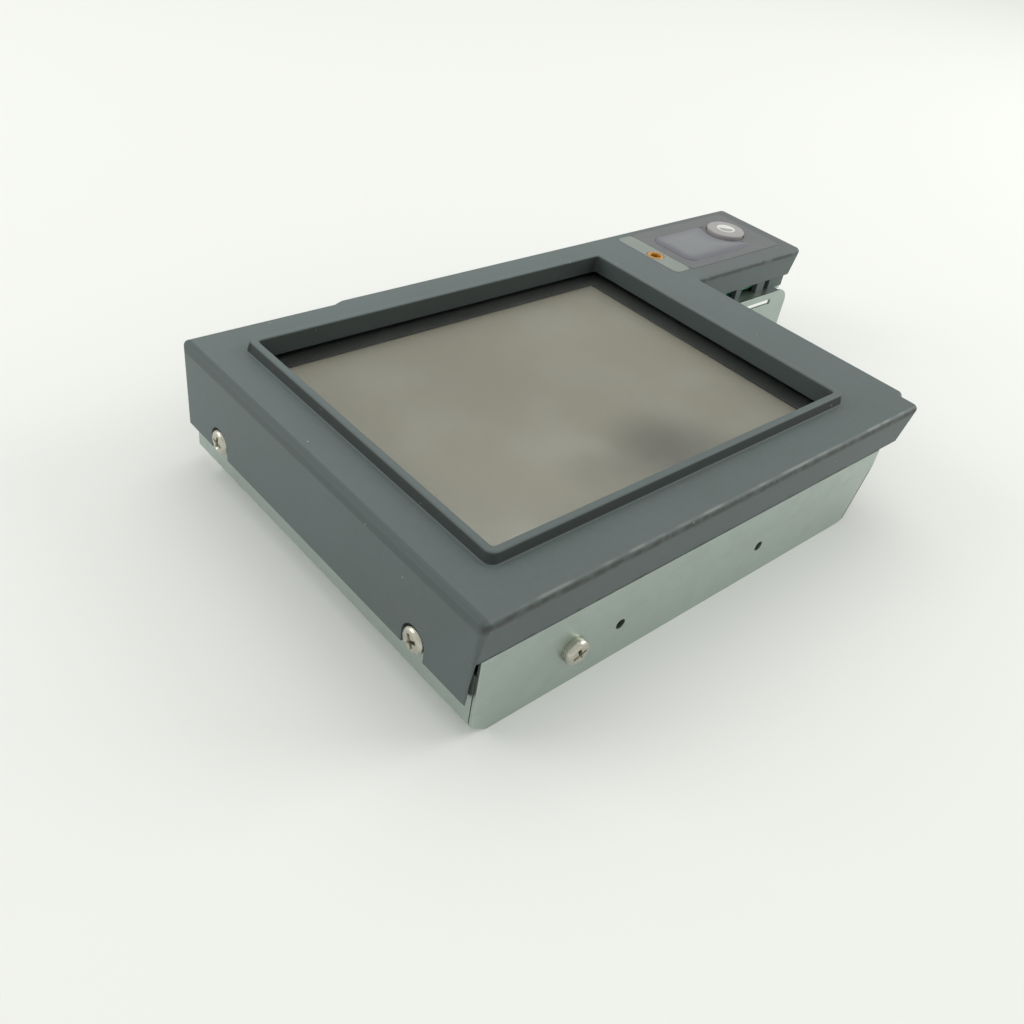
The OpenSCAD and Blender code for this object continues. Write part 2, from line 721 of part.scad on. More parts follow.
module led_lens() {
    color("#d08a22") place() difference() {
        post([led_x, led_y], lens_r, -shell_t, 0.35);
        post([led_x, led_y], lens_r - 1.3, -shell_t - 1, 1);
    }
}

module status_led() {
    top = -shell_t - 0.2;
    color("#e8dcc0") place() {
        post([led_x, led_y], led_r, key_board_z, top - led_r);
        translate([led_x, led_y, top - led_r]) intersection() {
            sphere(led_r);
            translate([-led_r, -led_r, -eps]) cube(2 * led_r);
        }
    }
}

// Outline, height and stem foot of a key; the lip under the plate keeps it in
module round_button() {
    color("#9b989f") place() {
        post([button_x, button_y], button_r, lip_top - eps, button_h - 0.4);
        translate([button_x, button_y, button_h - 0.4 - eps])
            cylinder(r1 = button_r, r2 = button_r - 0.5, h = 0.4);
        post([button_x, button_y], button_r + key_lip, lip_top - lip_h, lip_top);
        post([button_x, button_y], stem_r, actuator_top + press_gap + button_travel, lip_top - lip_h + eps);
    }
}

module pad_key() {
    lip_box = grow(pad, key_lip);
    color("#7f7c88") place() {
        translate([0, 0, lip_top - eps]) linear_extrude(pad_h * 0.6 - lip_top + eps) pad_shape(0);
        translate([0, 0, pad_h * 0.6 - eps]) linear_extrude(pad_h * 0.4 + eps) pad_shape(-0.7);
        translate([0, 0, lip_top - lip_h]) linear_extrude(lip_h) difference() {
            rounded(lip_box, pad_r + key_lip);
            translate([button_x, button_y]) circle(pad_cut_r);
        }
        post(keys[0], stem_r, actuator_top + press_gap + pad_travel, lip_top - lip_h + eps);
    }
}

module pad_spring() {
    color("#b9bcc0") place() translate([keys[0][0], keys[0][1], 0])
        coil(key_board_z, lip_top - lip_h - 0.05);
}

module button_spring() {
    color("#b9bcc0") place() translate([keys[1][0], keys[1][1], 0])
        coil(key_board_z, lip_top - lip_h - 0.05);
}

module key_board() {
    color("#1f7a48") place() difference() {
        slab(key_board_box, key_board_z, key_board_t);
        for (at = wing_bosses) post(at, small_r + hole_gap, shelf_z, key_board_z + 1);
    }
}

module key_switches() {
    color("#2b2d30") place() for (at = keys) {
        slab([at[0] - switch_w / 2, at[1] - switch_w / 2, at[0] + switch_w / 2, at[1] + switch_w / 2],
            key_board_z + switch_h, switch_h);
        post(at, actuator_r, key_board_z + switch_h - eps, actuator_top);
    }
}

module key_spacers() {
    color("#d8d8d0") place() for (at = wing_bosses) difference() {
        post(at, boss_r, shelf_z, shelf_z + spacer_h);
        post(at, small_r + hole_gap, shelf_z - 1, shelf_z + spacer_h + 1);
    }
}

// Front wall of the wing's bracket, drawn in x and z
module bracket_lip_shape() {
    difference() {
        union() {
            translate([lip_x0, lip_foot_z]) square([lip_x1 - lip_x0 - lip_corner_r, shelf_z - lip_foot_z]);
            translate([lip_x0, lip_foot_z]) square([lip_x1 - lip_x0, shelf_z - lip_foot_z - lip_corner_r]);
            translate([lip_x1 - lip_corner_r, shelf_z - lip_corner_r]) circle(lip_corner_r);
        }
        translate([lip_slot_x, shelf_z - 2.6 - lip_slot_h]) square([lip_slot_len, lip_slot_h]);
    }
}

module key_bracket() {
    y0 = wing_y - 0.4;
    color("#a8b5a6") place() difference() {
        union() {
            translate([0, y0 + sheet_t, 0]) rotate([90, 0, 0]) linear_extrude(sheet_t) bracket_lip_shape();
            slab([lip_x0, y0, lip_x1 - lip_corner_r, back_y - 3.8], shelf_z, sheet_t);
            slab([lip_x1 - lip_corner_r - eps, y0 + 3, lip_x1 - 2, back_y - 3.8], shelf_z, sheet_t);
        }
        for (at = wing_bosses) post(at, small_r + hole_gap, shelf_z - 2, shelf_z + 1);
    }
}

module wing_screws() {
    color("#c9c4b6") place() for (at = wing_bosses) translate([at[0], at[1], shelf_z - sheet_t])
        pan_screw(small_r, 9, 2.4, 1.7);
}

// Flat cable from the key board over the chassis wall and down to the main board
module key_ribbon() {
    start_x = key_board_box[0] + 3;
    end_x = board[2] - 12;
    drop_z = board_z + 2;
    path = [[start_x, key_board_z], [key_slot_x, key_board_z], [key_slot_x, drop_z],
        [end_x, drop_z], [end_x, board_z]];
    color("#c9ccd0") place() translate([0, key_ribbon_y, 0]) rotate([0, 0, -90])
        strip_path(0, key_ribbon_w, ribbon_t, path);
}

front_bezel();
window_gasket();
touch_film();
touch_glass();
lcd_frame();
lcd_glass();
diffuser_sheet();
light_guide();
backlight_lamp();
lcd_tray();
lcd_board();
lcd_pads();
display_bracket();
bezel_screws();
main_board();
board_standoffs();
board_screws();
main_chips();
capacitors();
inverter_board();
inverter_transformer();
power_connector();
data_connector();
lcd_ribbon();
touch_tail();
chassis_tray();
side_screws();
side_washers();
flange_screws();
wing_overlay();
status_strip();
led_lens();
status_led();
round_button();
button_spring();
pad_key();
pad_spring();
key_board();
key_switches();
key_spacers();
key_bracket();
wing_screws();
key_ribbon();
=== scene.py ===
# %% [markdown]
# # An operator panel with a touch display
# The object is a plastic bezel over a sheet-metal chassis, with a touch display in its window and a
# short wing that carries an indicator and two keys.  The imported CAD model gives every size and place.
# This notebook replaces the pieces whose looks need softer shapes, and gives every piece a material
# that is worked out by nodes.

# %% Load the frame
import math

import bmesh
import bpy
from mathutils import Matrix, Vector


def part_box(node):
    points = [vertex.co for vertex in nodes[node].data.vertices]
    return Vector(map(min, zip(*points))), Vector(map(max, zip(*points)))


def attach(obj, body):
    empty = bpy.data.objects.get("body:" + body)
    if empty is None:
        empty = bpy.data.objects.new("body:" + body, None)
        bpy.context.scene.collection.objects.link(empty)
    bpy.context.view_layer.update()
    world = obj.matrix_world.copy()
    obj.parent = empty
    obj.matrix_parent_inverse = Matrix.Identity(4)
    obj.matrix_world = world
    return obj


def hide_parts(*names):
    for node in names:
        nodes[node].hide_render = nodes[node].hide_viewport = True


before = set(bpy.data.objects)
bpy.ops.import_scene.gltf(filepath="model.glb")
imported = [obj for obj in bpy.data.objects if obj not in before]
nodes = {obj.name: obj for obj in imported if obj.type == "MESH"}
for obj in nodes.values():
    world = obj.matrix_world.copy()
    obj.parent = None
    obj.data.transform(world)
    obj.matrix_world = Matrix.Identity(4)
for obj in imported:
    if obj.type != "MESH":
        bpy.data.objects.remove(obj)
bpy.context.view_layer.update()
print("CAD nodes:", len(nodes))

# %% [markdown]
# ## Work coordinates
# A maker measures this panel from the front left corner of the bezel's flat top face, in millimetres.
# The same is done here: `at` turns such a point into metres in the frame's axes, and the corner itself
# comes from the bezel's CAD box.  The sizes below are the ones that the finer shapes follow.

# %% Sizes and places
MM = 0.001
RIM_H = 3.0
RIM_W = 2.8
SHELL = 2.4
bezel_low, bezel_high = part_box("front_bezel")
corner = Vector((bezel_low.x, bezel_low.y, bezel_high.z - RIM_H * MM))


def at(x, y, z):
    """A point in work millimetres as a point of the frame, in metres."""
    return corner + Vector((x, y, z)) * MM


def work(point):
    """A point of the frame, in metres, as work millimetres."""
    return (Vector(point) - corner) / MM


def work_box(node):
    """A CAD node's box in work millimetres, as (x0, y0, z0), (x1, y1, z1)."""
    low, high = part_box(node)
    return work(low), work(high)


WIDTH = work(bezel_high).x
BACK = work(bezel_high).y
WING_W, WING_D, BACK_STEP = 60.0, 38.2, 1.2
PANEL_W = WIDTH - WING_W
PANEL_D = BACK - BACK_STEP
WING_Y = PANEL_D - WING_D
film_low, film_high = work_box("touch_film")
TOUCH_IN = 3.5
WINDOW = (film_low.x + TOUCH_IN, film_low.y + TOUCH_IN, film_high.x - TOUCH_IN, film_high.y - TOUCH_IN)
print("bezel", round(WIDTH, 1), "x", round(BACK, 1), "window", [round(v, 1) for v in WINDOW])

# %% [markdown]
# ## Camera and room
# The camera looks down on the panel as a person at the bench would, about 20 cm from the near corner, so
# the long lines run together strongly.  Its place is measured from the bezel's corner.  The room is a pale
# table under a broad, soft light, with pale walls round it, so plastic looks soft and sheet metal pale.

# %% Camera
scene = bpy.context.scene
camera_data = bpy.data.cameras.new("camera")
camera_data.sensor_width = 36
camera_data.lens = 35
camera = bpy.data.objects.new("camera", camera_data)
forward = Vector((0.5771, 0.5383, -0.6141)).normalized()
upward = Vector((0.3238, 0.5395, 0.7772))
right = forward.cross(upward).normalized()
upward = right.cross(forward)
turn = Matrix((right, upward, -forward)).transposed().to_4x4()
camera.matrix_world = Matrix.Translation(at(-100.58, -95.57, 137.44)) @ turn
scene.collection.objects.link(camera)
scene.camera = camera
scene.view_settings.view_transform = "Standard"
print("camera at", [round(v, 4) for v in camera.location])

# %% [markdown]
# The table is a flat disc.  One large lamp above and
# two smaller ones beside it give soft shadows, and the world fills them in, as pale walls would.


# %% Table and light
def link(obj):
    """Puts a new object into the scene and returns it."""
    scene.collection.objects.link(obj)
    return obj


def mesh_from(bm, name):
    """A mesh of what a bmesh holds; the bmesh is freed."""
    mesh = bpy.data.meshes.new(name)
    bm.to_mesh(mesh)
    bm.free()
    return mesh


def table():
    """A wide pale table top, so wide that its edge is out of sight from above."""
    bm = bmesh.new()
    bmesh.ops.create_circle(bm, cap_ends=True, radius=9.0, segments=96)
    link(bpy.data.objects.new("table", mesh_from(bm, "table")))


def soft_light(name, place, aim, size, power, colour):
    """A square area light at place that shines on aim."""
    data = bpy.data.lights.new(name, "AREA")
    data.size = size
    data.energy = power
    data.color = colour
    obj = link(bpy.data.objects.new(name, data))
    obj.location = place
    obj.rotation_euler = (Vector(aim) - Vector(place)).to_track_quat("-Z", "Y").to_euler()


table()
soft_light("ceiling_light", (0.35, 0.55, 1.5), (0, 0, 0), 1.5, 7, (1.0, 1.0, 0.95))
soft_light("window_light", (1.0, -0.5, 0.6), (0.05, 0, 0), 0.7, 5, (1.0, 1.0, 0.96))
soft_light("wall_light", (-0.8, 0.6, 0.5), (-0.1, 0.05, 0), 0.6, 3, (1.0, 1.0, 0.97))
world = bpy.data.worlds.new("room")
scene.world = world
world.use_nodes = True
world.node_tree.nodes["Background"].inputs["Color"].default_value = (0.94, 0.96, 0.91, 1)
world.node_tree.nodes["Background"].inputs["Strength"].default_value = 0.76

# %% [markdown]
# ## Writing materials as sums
# A finish is easier to read as arithmetic than as a wiring diagram.  `Value` wraps one socket, and
# adding or multiplying two values makes the Math node that does it.  `Graph.make` creates any other
# node: its settings are set first, then its sockets get values or links.


# %% Node arithmetic
class Value:
    """One output socket of a node tree."""

    def __init__(self, graph, socket):
        self.graph = graph
        self.socket = socket

    def math(self, operation, *others):
        return self.graph.make("ShaderNodeMath", {"operation": operation}, self, *others)

    def __add__(self, other):
        return self.math("ADD", other)

    def __mul__(self, other):
        return self.math("MULTIPLY", other)

    def __sub__(self, other):
        return self.math("SUBTRACT", other)

    def __truediv__(self, other):
        return self.math("DIVIDE", other)

    def __pow__(self, other):
        return self.math("POWER", other)

    def __rsub__(self, other):
        return self.graph.make("ShaderNodeMath", {"operation": "SUBTRACT"}, other, self)

    __radd__ = __add__
    __rmul__ = __mul__

    def clamp(self):
        return self.graph.make("ShaderNodeClamp", {}, self)

    def step(self, low, high):
        """0 below low, 1 above high, and a smooth change between."""
        inputs = {"Value": self, "From Min": low, "From Max": high}
        return self.graph.make("ShaderNodeMapRange", {"interpolation_type": "SMOOTHSTEP"}, inputs=inputs)


print("values can be added and multiplied")

# %% [markdown]
# `Graph` holds the tree.  The methods after `make` are short names for what the finishes use again and
# again: a colour mix, a tint, the place of a point, noise, cells and bump.


# %% Graph
class Graph:
    """A node tree that nodes are added to."""

    def __init__(self, tree):
        self.tree = tree

    def make(self, kind, settings, *values, inputs=None, out=0):
        """Adds a node of a kind, and returns its output as a Value."""
        node = self.tree.nodes.new(kind)
        for key, value in settings.items():
            setattr(node, key, value)
        for key, value in list(enumerate(values)) + list((inputs or {}).items()):
            self.plug(self.find(node.inputs, key), value)
        return Value(self, self.find(node.outputs, out))

    def find(self, sockets, key):
        """A socket by its number, its identifier or its name."""
        if isinstance(key, int):
            return sockets[key]
        return next((s for s in sockets if s.identifier == key), None) or sockets[key]

    def plug(self, socket, value):
        """Links a Value to a socket, or sets the socket to a plain number, colour or object."""
        if isinstance(value, Value):
            self.tree.links.new(value.socket, socket)
        else:
            socket.default_value = value

    def mix(self, factor, a, b):
        """Colour a where factor is 0, colour b where it is 1."""
        colours = [(*c, 1) if isinstance(c, tuple) and len(c) == 3 else c for c in (a, b)]
        inputs = {"Factor_Float": factor, "A_Color": colours[0], "B_Color": colours[1]}
        return self.make("ShaderNodeMix", {"data_type": "RGBA"}, inputs=inputs, out="Result_Color")

    def tint(self, colour, factor):
        """A colour made lighter or darker by a value round 1."""
        grey = self.make("ShaderNodeCombineXYZ", {}, factor, factor, factor)
        return self.make("ShaderNodeVectorMath", {"operation": "MULTIPLY"}, colour, grey)

    def place(self, scale=(1, 1, 1)):
        """Where a point of the piece lies, in work millimetres times scale."""
        spot = self.make("ShaderNodeTexCoord", {}, out="Object")
        mapping = {"Location": tuple(-c / MM * s for c, s in zip(corner, scale)),
                   "Scale": tuple(s / MM for s in scale)}
        return self.make("ShaderNodeMapping", {"vector_type": "POINT"}, spot, inputs=mapping)

    def axes(self, vector):
        """The x, y and z of a vector, as three values."""
        parts = self.tree.nodes.new("ShaderNodeSeparateXYZ")
        self.plug(parts.inputs[0], vector)
        return [Value(self, s) for s in parts.outputs]

    def noise(self, vector, per_mm, detail=3.0, roughness=0.5):
        """Smooth noise from about 0.3 to 0.7, with per_mm blobs to the millimetre."""
        inputs = {"Vector": vector, "Scale": per_mm, "Detail": detail, "Roughness": roughness}
        return self.make("ShaderNodeTexNoise", {}, inputs=inputs)

    def cells(self, vector, per_mm, out="Distance"):
        """Scattered cells: the distance to the nearest centre, or a colour for each cell."""
        inputs = {"Vector": vector, "Scale": per_mm}
        return self.make("ShaderNodeTexVoronoi", {}, inputs=inputs, out=out)

    def bump(self, height, strength, distance_mm):
        """A normal that makes a height from 0 to 1 look distance_mm high."""
        inputs = {"Height": height, "Strength": strength, "Distance": distance_mm * MM}
        return self.make("ShaderNodeBump", {}, inputs=inputs)


print("a graph can mix, place, scatter and bump")

# %% [markdown]
# A finish is one Principled shader.  What varies over the surface is worked out by a paint function and
# linked.  What is the same all over is set on the shader itself, which keeps the tree small.


# %% One finish
def finish(name, paint, **fixed):
    """A material: paint(graph) returns what varies, and fixed holds what is the same all over."""
    material = bpy.data.materials.new(name)
    material.use_nodes = True
    graph = Graph(material.node_tree)
    shader = material.node_tree.nodes["Principled BSDF"]
    for key, value in fixed.items():
        shader.inputs[key.replace("_", " ")].default_value = value
    for key, value in paint(graph).items():
        graph.plug(shader.inputs[key], value)
    return material


print("finishes are made from a paint function")

# %% [markdown]
# ## The finishes
# The bezel is moulded in a dark blue-grey plastic with a fine spark-eroded grain.  Age shows as a
# cloudy sheen, pale dust specks, and dark dirt along the front edge.  Light and shade are painted in
# too: a painted highlight along the front top edge, painted shade on the rim and the left top edge, and
# a painted sheen that makes the top lighter towards the back.


# %% Moulded plastic
def dirt_and_highlight_line(y, z, centre, reach):
    """1 on a line along X at centre = (y, z), falling to 0 at reach millimetres from it."""
    away = ((y - centre[0]) ** 2.0 + (z - centre[1]) ** 2.0) ** 0.5
    return 1 - away.step(0.0, reach)


def outside(x, y):
    """How far a point lies outside the window, in millimetres, and below zero inside it."""
    left, front, far_right, back = WINDOW
    across = (x - (left + far_right) / 2).math("ABSOLUTE") - (far_right - left) / 2
    along = (y - (front + back) / 2).math("ABSOLUTE") - (back - front) / 2
    return across.math("MAXIMUM", along)


def bezel_paint(graph):
    spot = graph.place()
    x, y, z = graph.axes(spot)
    cloud = graph.noise(spot, 0.03, 4.0, 0.55)
    mottle = graph.noise(spot, 0.5, 3.0)
    # Painted sheen: the colour grows lighter towards the back, where the light catches the top more.
    painted_back_sheen = (y / BACK).clamp() * 0.22
    colour = graph.tint((0.092, 0.117, 0.119), 0.70 + painted_back_sheen + cloud * 0.28 + mottle * 0.12)
    on_wing = x.step(PANEL_W - 1, PANEL_W + 9) * y.step(WING_Y + 0.5, WING_Y + 2) * z.step(-1.5, -0.8)
    colour = graph.mix(on_wing * 0.7, colour, (0.104, 0.109, 0.118))
    # Painted shade: a dark band along the rounded top edge of the left side.
    painted_bevel_shade = (1 - x.step(1.8, 2.2)) * z.step(-3.2, -2.6)
    colour = graph.mix(painted_bevel_shade * 0.7, colour, (0.048, 0.066, 0.067))
    # Painted shade: the rim and the walls of the recess round the window are darkened, most on the rim's
    # outer side and on the recess's back wall.
    away = outside(x, y)
    shaded = 0.55 + away.step(0.3, 1.5) * 0.27 + y.step(WINDOW[3] - 1, WINDOW[3]) * 0.25
    on_rim = (z.step(0.03, 0.3) + (1 - away.step(0.3, 0.6))).clamp() * (1 - away.step(3.3, 3.8))
    painted_rim_shade = on_rim * (1 - z.step(2.5, 2.95)) * shaded.clamp()
    colour = graph.mix(painted_rim_shade, colour, (0.016, 0.021, 0.020))
    patchy = graph.noise(spot, 0.22, 5.0, 0.7)
    dirt = dirt_and_highlight_line(y, z, (0.1, -1.3), 1.6) * (0.5 + patchy.step(0.42, 0.60) * 0.75)
    wing_edge = dirt_and_highlight_line(y - WING_Y, z, (0.1, -1.3), 1.4) * x.step(PANEL_W, PANEL_W + 1)
    dirt = dirt + wing_edge * patchy.step(0.36, 0.55)
    dirt = dirt + dirt_and_highlight_line(y, z, (1.3, -12.6), 1.2) * patchy.step(0.46, 0.60)
    colour = graph.mix(dirt.clamp() * 0.8, colour, (0.024, 0.025, 0.018))
    # Painted highlight: a pale line along the rounding of the front top edge, broken up by noise; the same
    # mask also lowers the roughness there.
    painted_highlight = dirt_and_highlight_line(y, z, (0.75, -0.2), 0.6) * (0.25 + graph.noise(spot, 0.08, 2.0).step(0.45, 0.6))
    colour = graph.mix(painted_highlight.clamp() * 0.35, colour, (0.30, 0.33, 0.31))
    speck_size = graph.cells(spot, 0.22)
    speck_pick = graph.noise(spot, 0.09, 1.0).step(0.54, 0.58)
    specks = (1 - speck_size.step(0.03, 0.07)) * speck_pick
    colour = graph.mix(specks * 0.6, colour, (0.42, 0.43, 0.39))
    streak = graph.noise(graph.place((0.06, 1.2, 1.2)), 1.0, 4.0, 0.6)
    scuffs = streak.step(0.66, 0.74) * 0.10
    colour = graph.mix(scuffs, colour, (0.26, 0.28, 0.27))
    grain = graph.noise(spot, 3.2, 2.0, 0.6)
    return {"Base Color": colour, "Roughness": 0.50 + cloud * 0.16 - painted_highlight * 0.1,
            "Normal": graph.bump(grain, 0.35, 0.05)}


bezel_plastic = finish("bezel_plastic", bezel_paint, Specular_IOR_Level=0.5)
print("made", bezel_plastic.name)

# %% [markdown]
# Zinc-plated sheet has a faint green cast from its passivation.  Rolling leaves long, very fine
# streaks, and the zinc freezes in soft cloudy crystals.  Fingers leave duller smudges, and a dark line
# runs along the slanted cut edge at the right end of the front wall.  That edge starts at `CUT_Z` on the
# chassis's right side and leans in by `CUT_LEAN` as it goes down.


# %% Zinc-plated sheet
CUT_X = work_box("chassis_tray")[1].x
CUT_Z, CUT_LEAN = -18.6, math.radians(16.8)


def dark_edge_line(x, y, z):
    """1 on the slanted cut edge at the right end of the front wall, and 0 elsewhere."""
    to_edge = (x - CUT_X) * math.cos(CUT_LEAN) - (z - CUT_Z) * math.sin(CUT_LEAN)
    narrow = 1 - (to_edge + 0.35).math("ABSOLUTE").step(0.25, 0.55)
    return narrow * (1 - y.step(2.8, 3.4)) * (1 - z.step(-20.5, -19.0))


def sheet_paint(graph):
    spot = graph.place()
    rolled = graph.noise(graph.place((0.02, 0.9, 3.5)), 1.0, 3.0, 0.6)
    crystal = graph.cells(spot, 0.28, out="Color")
    crystal_grey = graph.make("ShaderNodeSeparateColor", {}, crystal, out=0)
    blotch = graph.noise(spot, 0.05, 4.0, 0.6)
    shade = 0.86 + rolled * 0.12 + crystal_grey * 0.05 + blotch * 0.14
    colour = graph.tint((0.400, 0.465, 0.430), shade)
    x, y, z = graph.axes(spot)
    # Darker along the slanted cut edge.
    colour = graph.mix(dark_edge_line(x, y, z) * 0.75, colour, (0.07, 0.075, 0.07))
    dull = blotch.step(0.45, 0.65)
    return {"Base Color": colour, "Roughness": 0.30 + dull * 0.16 + rolled * 0.08,
            "Normal": graph.bump(rolled, 0.12, 0.03)}


zinc_sheet = finish("zinc_sheet", sheet_paint, Metallic=0.85)


def nickel_paint(graph):
    spot = graph.place()
    brushed = graph.noise(spot, 1.6, 4.0, 0.6)
    colour = graph.tint((0.56, 0.545, 0.47), 0.80 + brushed * 0.34)
    # Painted shade, with some dirt: the cross recess is darkened to a dark brown.
    recess_shade_and_grime = graph.make("ShaderNodeAttribute", {"attribute_name": "recess_shade_and_grime"}, out="Fac")
    colour = graph.mix(recess_shade_and_grime * 0.93, colour, (0.035, 0.022, 0.016))
    return {"Base Color": colour, "Roughness": 0.18 + brushed * 0.2 + recess_shade_and_grime * 0.3}


nickel = finish("nickel", nickel_paint, Metallic=1.0)
print("made", zinc_sheet.name, nickel.name)

# %% [markdown]
# The display is off, so its front polariser shows as a flat brownish grey with a satin skin.  The touch
# film over it is clear and has a fine anti-glare texture, which turns the room into a soft blur.  Clear
# sheets this thin don't bend the view, so they are a mix of straight-through and gloss.


# %% Display and clear sheets
def clear_sheet(name, tint, gloss_roughness, base_gloss):
    """A thin clear sheet: what is behind it shows, under a faint reflection of the room."""
    material = bpy.data.materials.new(name)
    material.use_nodes = True
    graph = Graph(material.node_tree)
    material.node_tree.nodes.remove(material.node_tree.nodes["Principled BSDF"])
    spot = graph.place()
    smear = graph.noise(spot, 0.035, 3.0, 0.5)
    clear = graph.make("ShaderNodeBsdfTransparent", {}, tint)
    gloss = graph.make("ShaderNodeBsdfAnisotropic", {}, inputs={
        "Color": (1, 1, 1, 1), "Roughness": gloss_roughness + smear * 0.08})
    share = base_gloss + smear.step(0.45, 0.7) * 0.02
    both = graph.make("ShaderNodeMixShader", {}, share, clear, gloss)
    graph.plug(material.node_tree.nodes["Material Output"].inputs["Surface"], both)
    return material


film_clear = clear_sheet("touch_film_hard_coat", (0.96, 0.96, 0.95, 1), 0.20, 0.065)
glass_clear = clear_sheet("touch_glass_clear", (0.97, 0.985, 0.975, 1), 0.10, 0.01)


def blotch(x, y, centre, inner, reach):
    """1 within inner millimetres of a centre, falling to 0 at reach."""
    return 1 - (((x - centre[0]) ** 2.0 + (y - centre[1]) ** 2.0) ** 0.5).step(inner, reach)


def polariser_paint(graph):
    spot = graph.place()
    x, y, _ = graph.axes(spot)
    cloud = graph.noise(spot, 0.018, 3.0, 0.5)
    # The polariser is darker in two round patches, a small one and a large one.
    small_dark_patch = blotch(x, y, (64, 30), 2.0, 14.0)
    large_dark_patch = blotch(x, y, (88, 25), 4.0, 26.0)
    colour = graph.tint((0.278, 0.244, 0.203), 0.80 + cloud * 0.38 - large_dark_patch * 0.62 - small_dark_patch * 0.2)
    return {"Base Color": colour, "Roughness": 0.5 + cloud * 0.1}


polariser = finish("display_polariser", polariser_paint, Specular_IOR_Level=0.3)


def black_metal_paint(graph):
    spot = graph.place()
    fine = graph.noise(spot, 2.0, 3.0)
    dust = graph.noise(spot, 0.3, 5.0, 0.7).step(0.58, 0.72)
    colour = graph.mix(dust * 0.35, graph.tint((0.020, 0.021, 0.022), 0.7 + fine * 0.6), (0.09, 0.09, 0.085))
    return {"Base Color": colour, "Roughness": 0.42 + fine * 0.2, "Normal": graph.bump(fine, 0.2, 0.02)}


black_metal = finish("black_frame_paint", black_metal_paint)
print("made", film_clear.name, glass_clear.name, polariser.name, black_metal.name)

# %% [markdown]
# The wing carries a printed polyester film, a pale strip with the indicator, a soft silicone key and a
# hard round key.  The round key's mark is a plain ring that is half filled, printed in white ink: it is
# drawn from the distance to the key's centre, so no picture is needed.


# %% Films and keys
button_low, button_high = work_box("round_button")
lens_low, lens_high = work_box("led_lens")
BUTTON = (button_low + button_high) / 2
LENS = (lens_low + lens_high) / 2


def film_paint(tone, haze, rough):
    def paint(graph):
        spot = graph.place()
        cloud = graph.noise(spot, 0.09, 4.0, 0.6)
        fine = graph.noise(spot, 3.0, 2.0)
        colour = graph.mix(cloud.step(0.35, 0.65) * 0.5, tone, haze)
        colour = graph.tint(colour, 0.94 + fine * 0.12)
        return {"Base Color": colour, "Roughness": rough + cloud * 0.15,
                "Normal": graph.bump(fine, 0.15, 0.02)}
    return paint


overlay_film = finish("wing_film", film_paint((0.111, 0.116, 0.126), (0.135, 0.139, 0.149), 0.34))
strip_film = finish("strip_film", film_paint((0.208, 0.232, 0.222), (0.248, 0.268, 0.256), 0.40))


def pad_paint(graph):
    spot = graph.place()
    z = graph.axes(spot)[2]
    cloud = graph.noise(spot, 0.11, 4.0, 0.55)
    fine = graph.noise(spot, 2.6, 2.0)
    # Painted light: the top of the dome is made paler and its foot a darker purple, as light and shade fall
    # on it.
    painted_highlight = z.step(0.55, 1.05)
    colour = graph.mix(painted_highlight * 0.7, (0.112, 0.112, 0.144), (0.178, 0.187, 0.197))
    return {"Base Color": graph.tint(colour, 0.84 + cloud * 0.32), "Roughness": 0.40 + cloud * 0.2,
            "Normal": graph.bump(fine, 0.2, 0.03)}


pad_silicone = finish("pad_silicone", pad_paint, Sheen_Weight=0.15, Sheen_Roughness=0.5)
print("made", overlay_film.name, strip_film.name, pad_silicone.name)

# %% [markdown]
# The round key is harder and paler than the pad.  Distance from its centre gives the ring, and the sign of
# a slanted line gives the filled half.  Worn spots in the ink come from noise.


# %% Finishes of the round key, lens and lamp
def button_paint(graph):
    spot = graph.place()
    x, y, z = graph.axes(spot)
    across, along = x - BUTTON.x, y - BUTTON.y
    away = (across * across + along * along) ** 0.5
    ring = away.step(2.65, 2.8) * (1 - away.step(3.35, 3.5))
    half = (across + along).step(-0.05, 0.05) * (1 - away.step(2.65, 2.8))
    ink = ((ring + half).clamp()) * z.step(1.2, 1.3)
    worn = 1 - graph.noise(spot, 0.9, 4.0, 0.6).step(0.58, 0.72) * 0.5
    cloud = graph.noise(spot, 0.3, 4.0)
    base = graph.tint((0.325, 0.312, 0.318), 0.88 + cloud * 0.24)
    colour = graph.mix(ink * worn * 0.85, base, (0.72, 0.72, 0.70))
    fine = graph.noise(spot, 3.0, 2.0)
    return {"Base Color": colour, "Roughness": 0.36 + cloud * 0.2, "Normal": graph.bump(fine, 0.2, 0.03)}


button_plastic = finish("button_plastic", button_paint)


def amber_paint(graph):
    spot = graph.place()
    cloud = graph.noise(spot, 0.8, 3.0)
    colour = graph.mix(cloud, (0.42, 0.17, 0.012), (0.75, 0.36, 0.035))
    return {"Base Color": colour, "Roughness": 0.14 + cloud * 0.12}


amber = finish("amber_lens", amber_paint, Transmission_Weight=0.25, Coat_Weight=0.4)


def epoxy_paint(graph):
    spot = graph.place()
    cloud = graph.noise(spot, 0.7, 3.0)
    return {"Base Color": graph.tint((0.055, 0.030, 0.012), 0.6 + cloud * 0.8),
            "Roughness": 0.12 + cloud * 0.1}


led_epoxy = finish("led_epoxy", epoxy_paint, Coat_Weight=0.5)
print("made", button_plastic.name, amber.name, led_epoxy.name)

# %% [markdown]
# The pieces inside are seen only through slots and sockets, or when the panel is taken apart, but each
# has the finish of its kind: solder mask over copper tracks, moulded epoxy, brass, tape, ribbon.


# %% Finishes inside
def speckled(name, tone, rough, per_mm=1.5, contrast=0.3, bump=0.15, **fixed):
    """A plain finish with grain: the tone varies by contrast, and the grain is felt a little."""
    def paint(graph):
        spot = graph.place()
        fine = graph.noise(spot, per_mm, 3.0)
        broad = graph.noise(spot, 0.08, 4.0, 0.6)
        shade = (1 - contrast / 2) + fine * (contrast * 0.6) + broad * (contrast * 0.4)
        return {"Base Color": graph.tint(tone, shade), "Roughness": rough + broad * 0.14,
                "Normal": graph.bump(fine, bump, 0.03)}
    return finish(name, paint, **fixed)


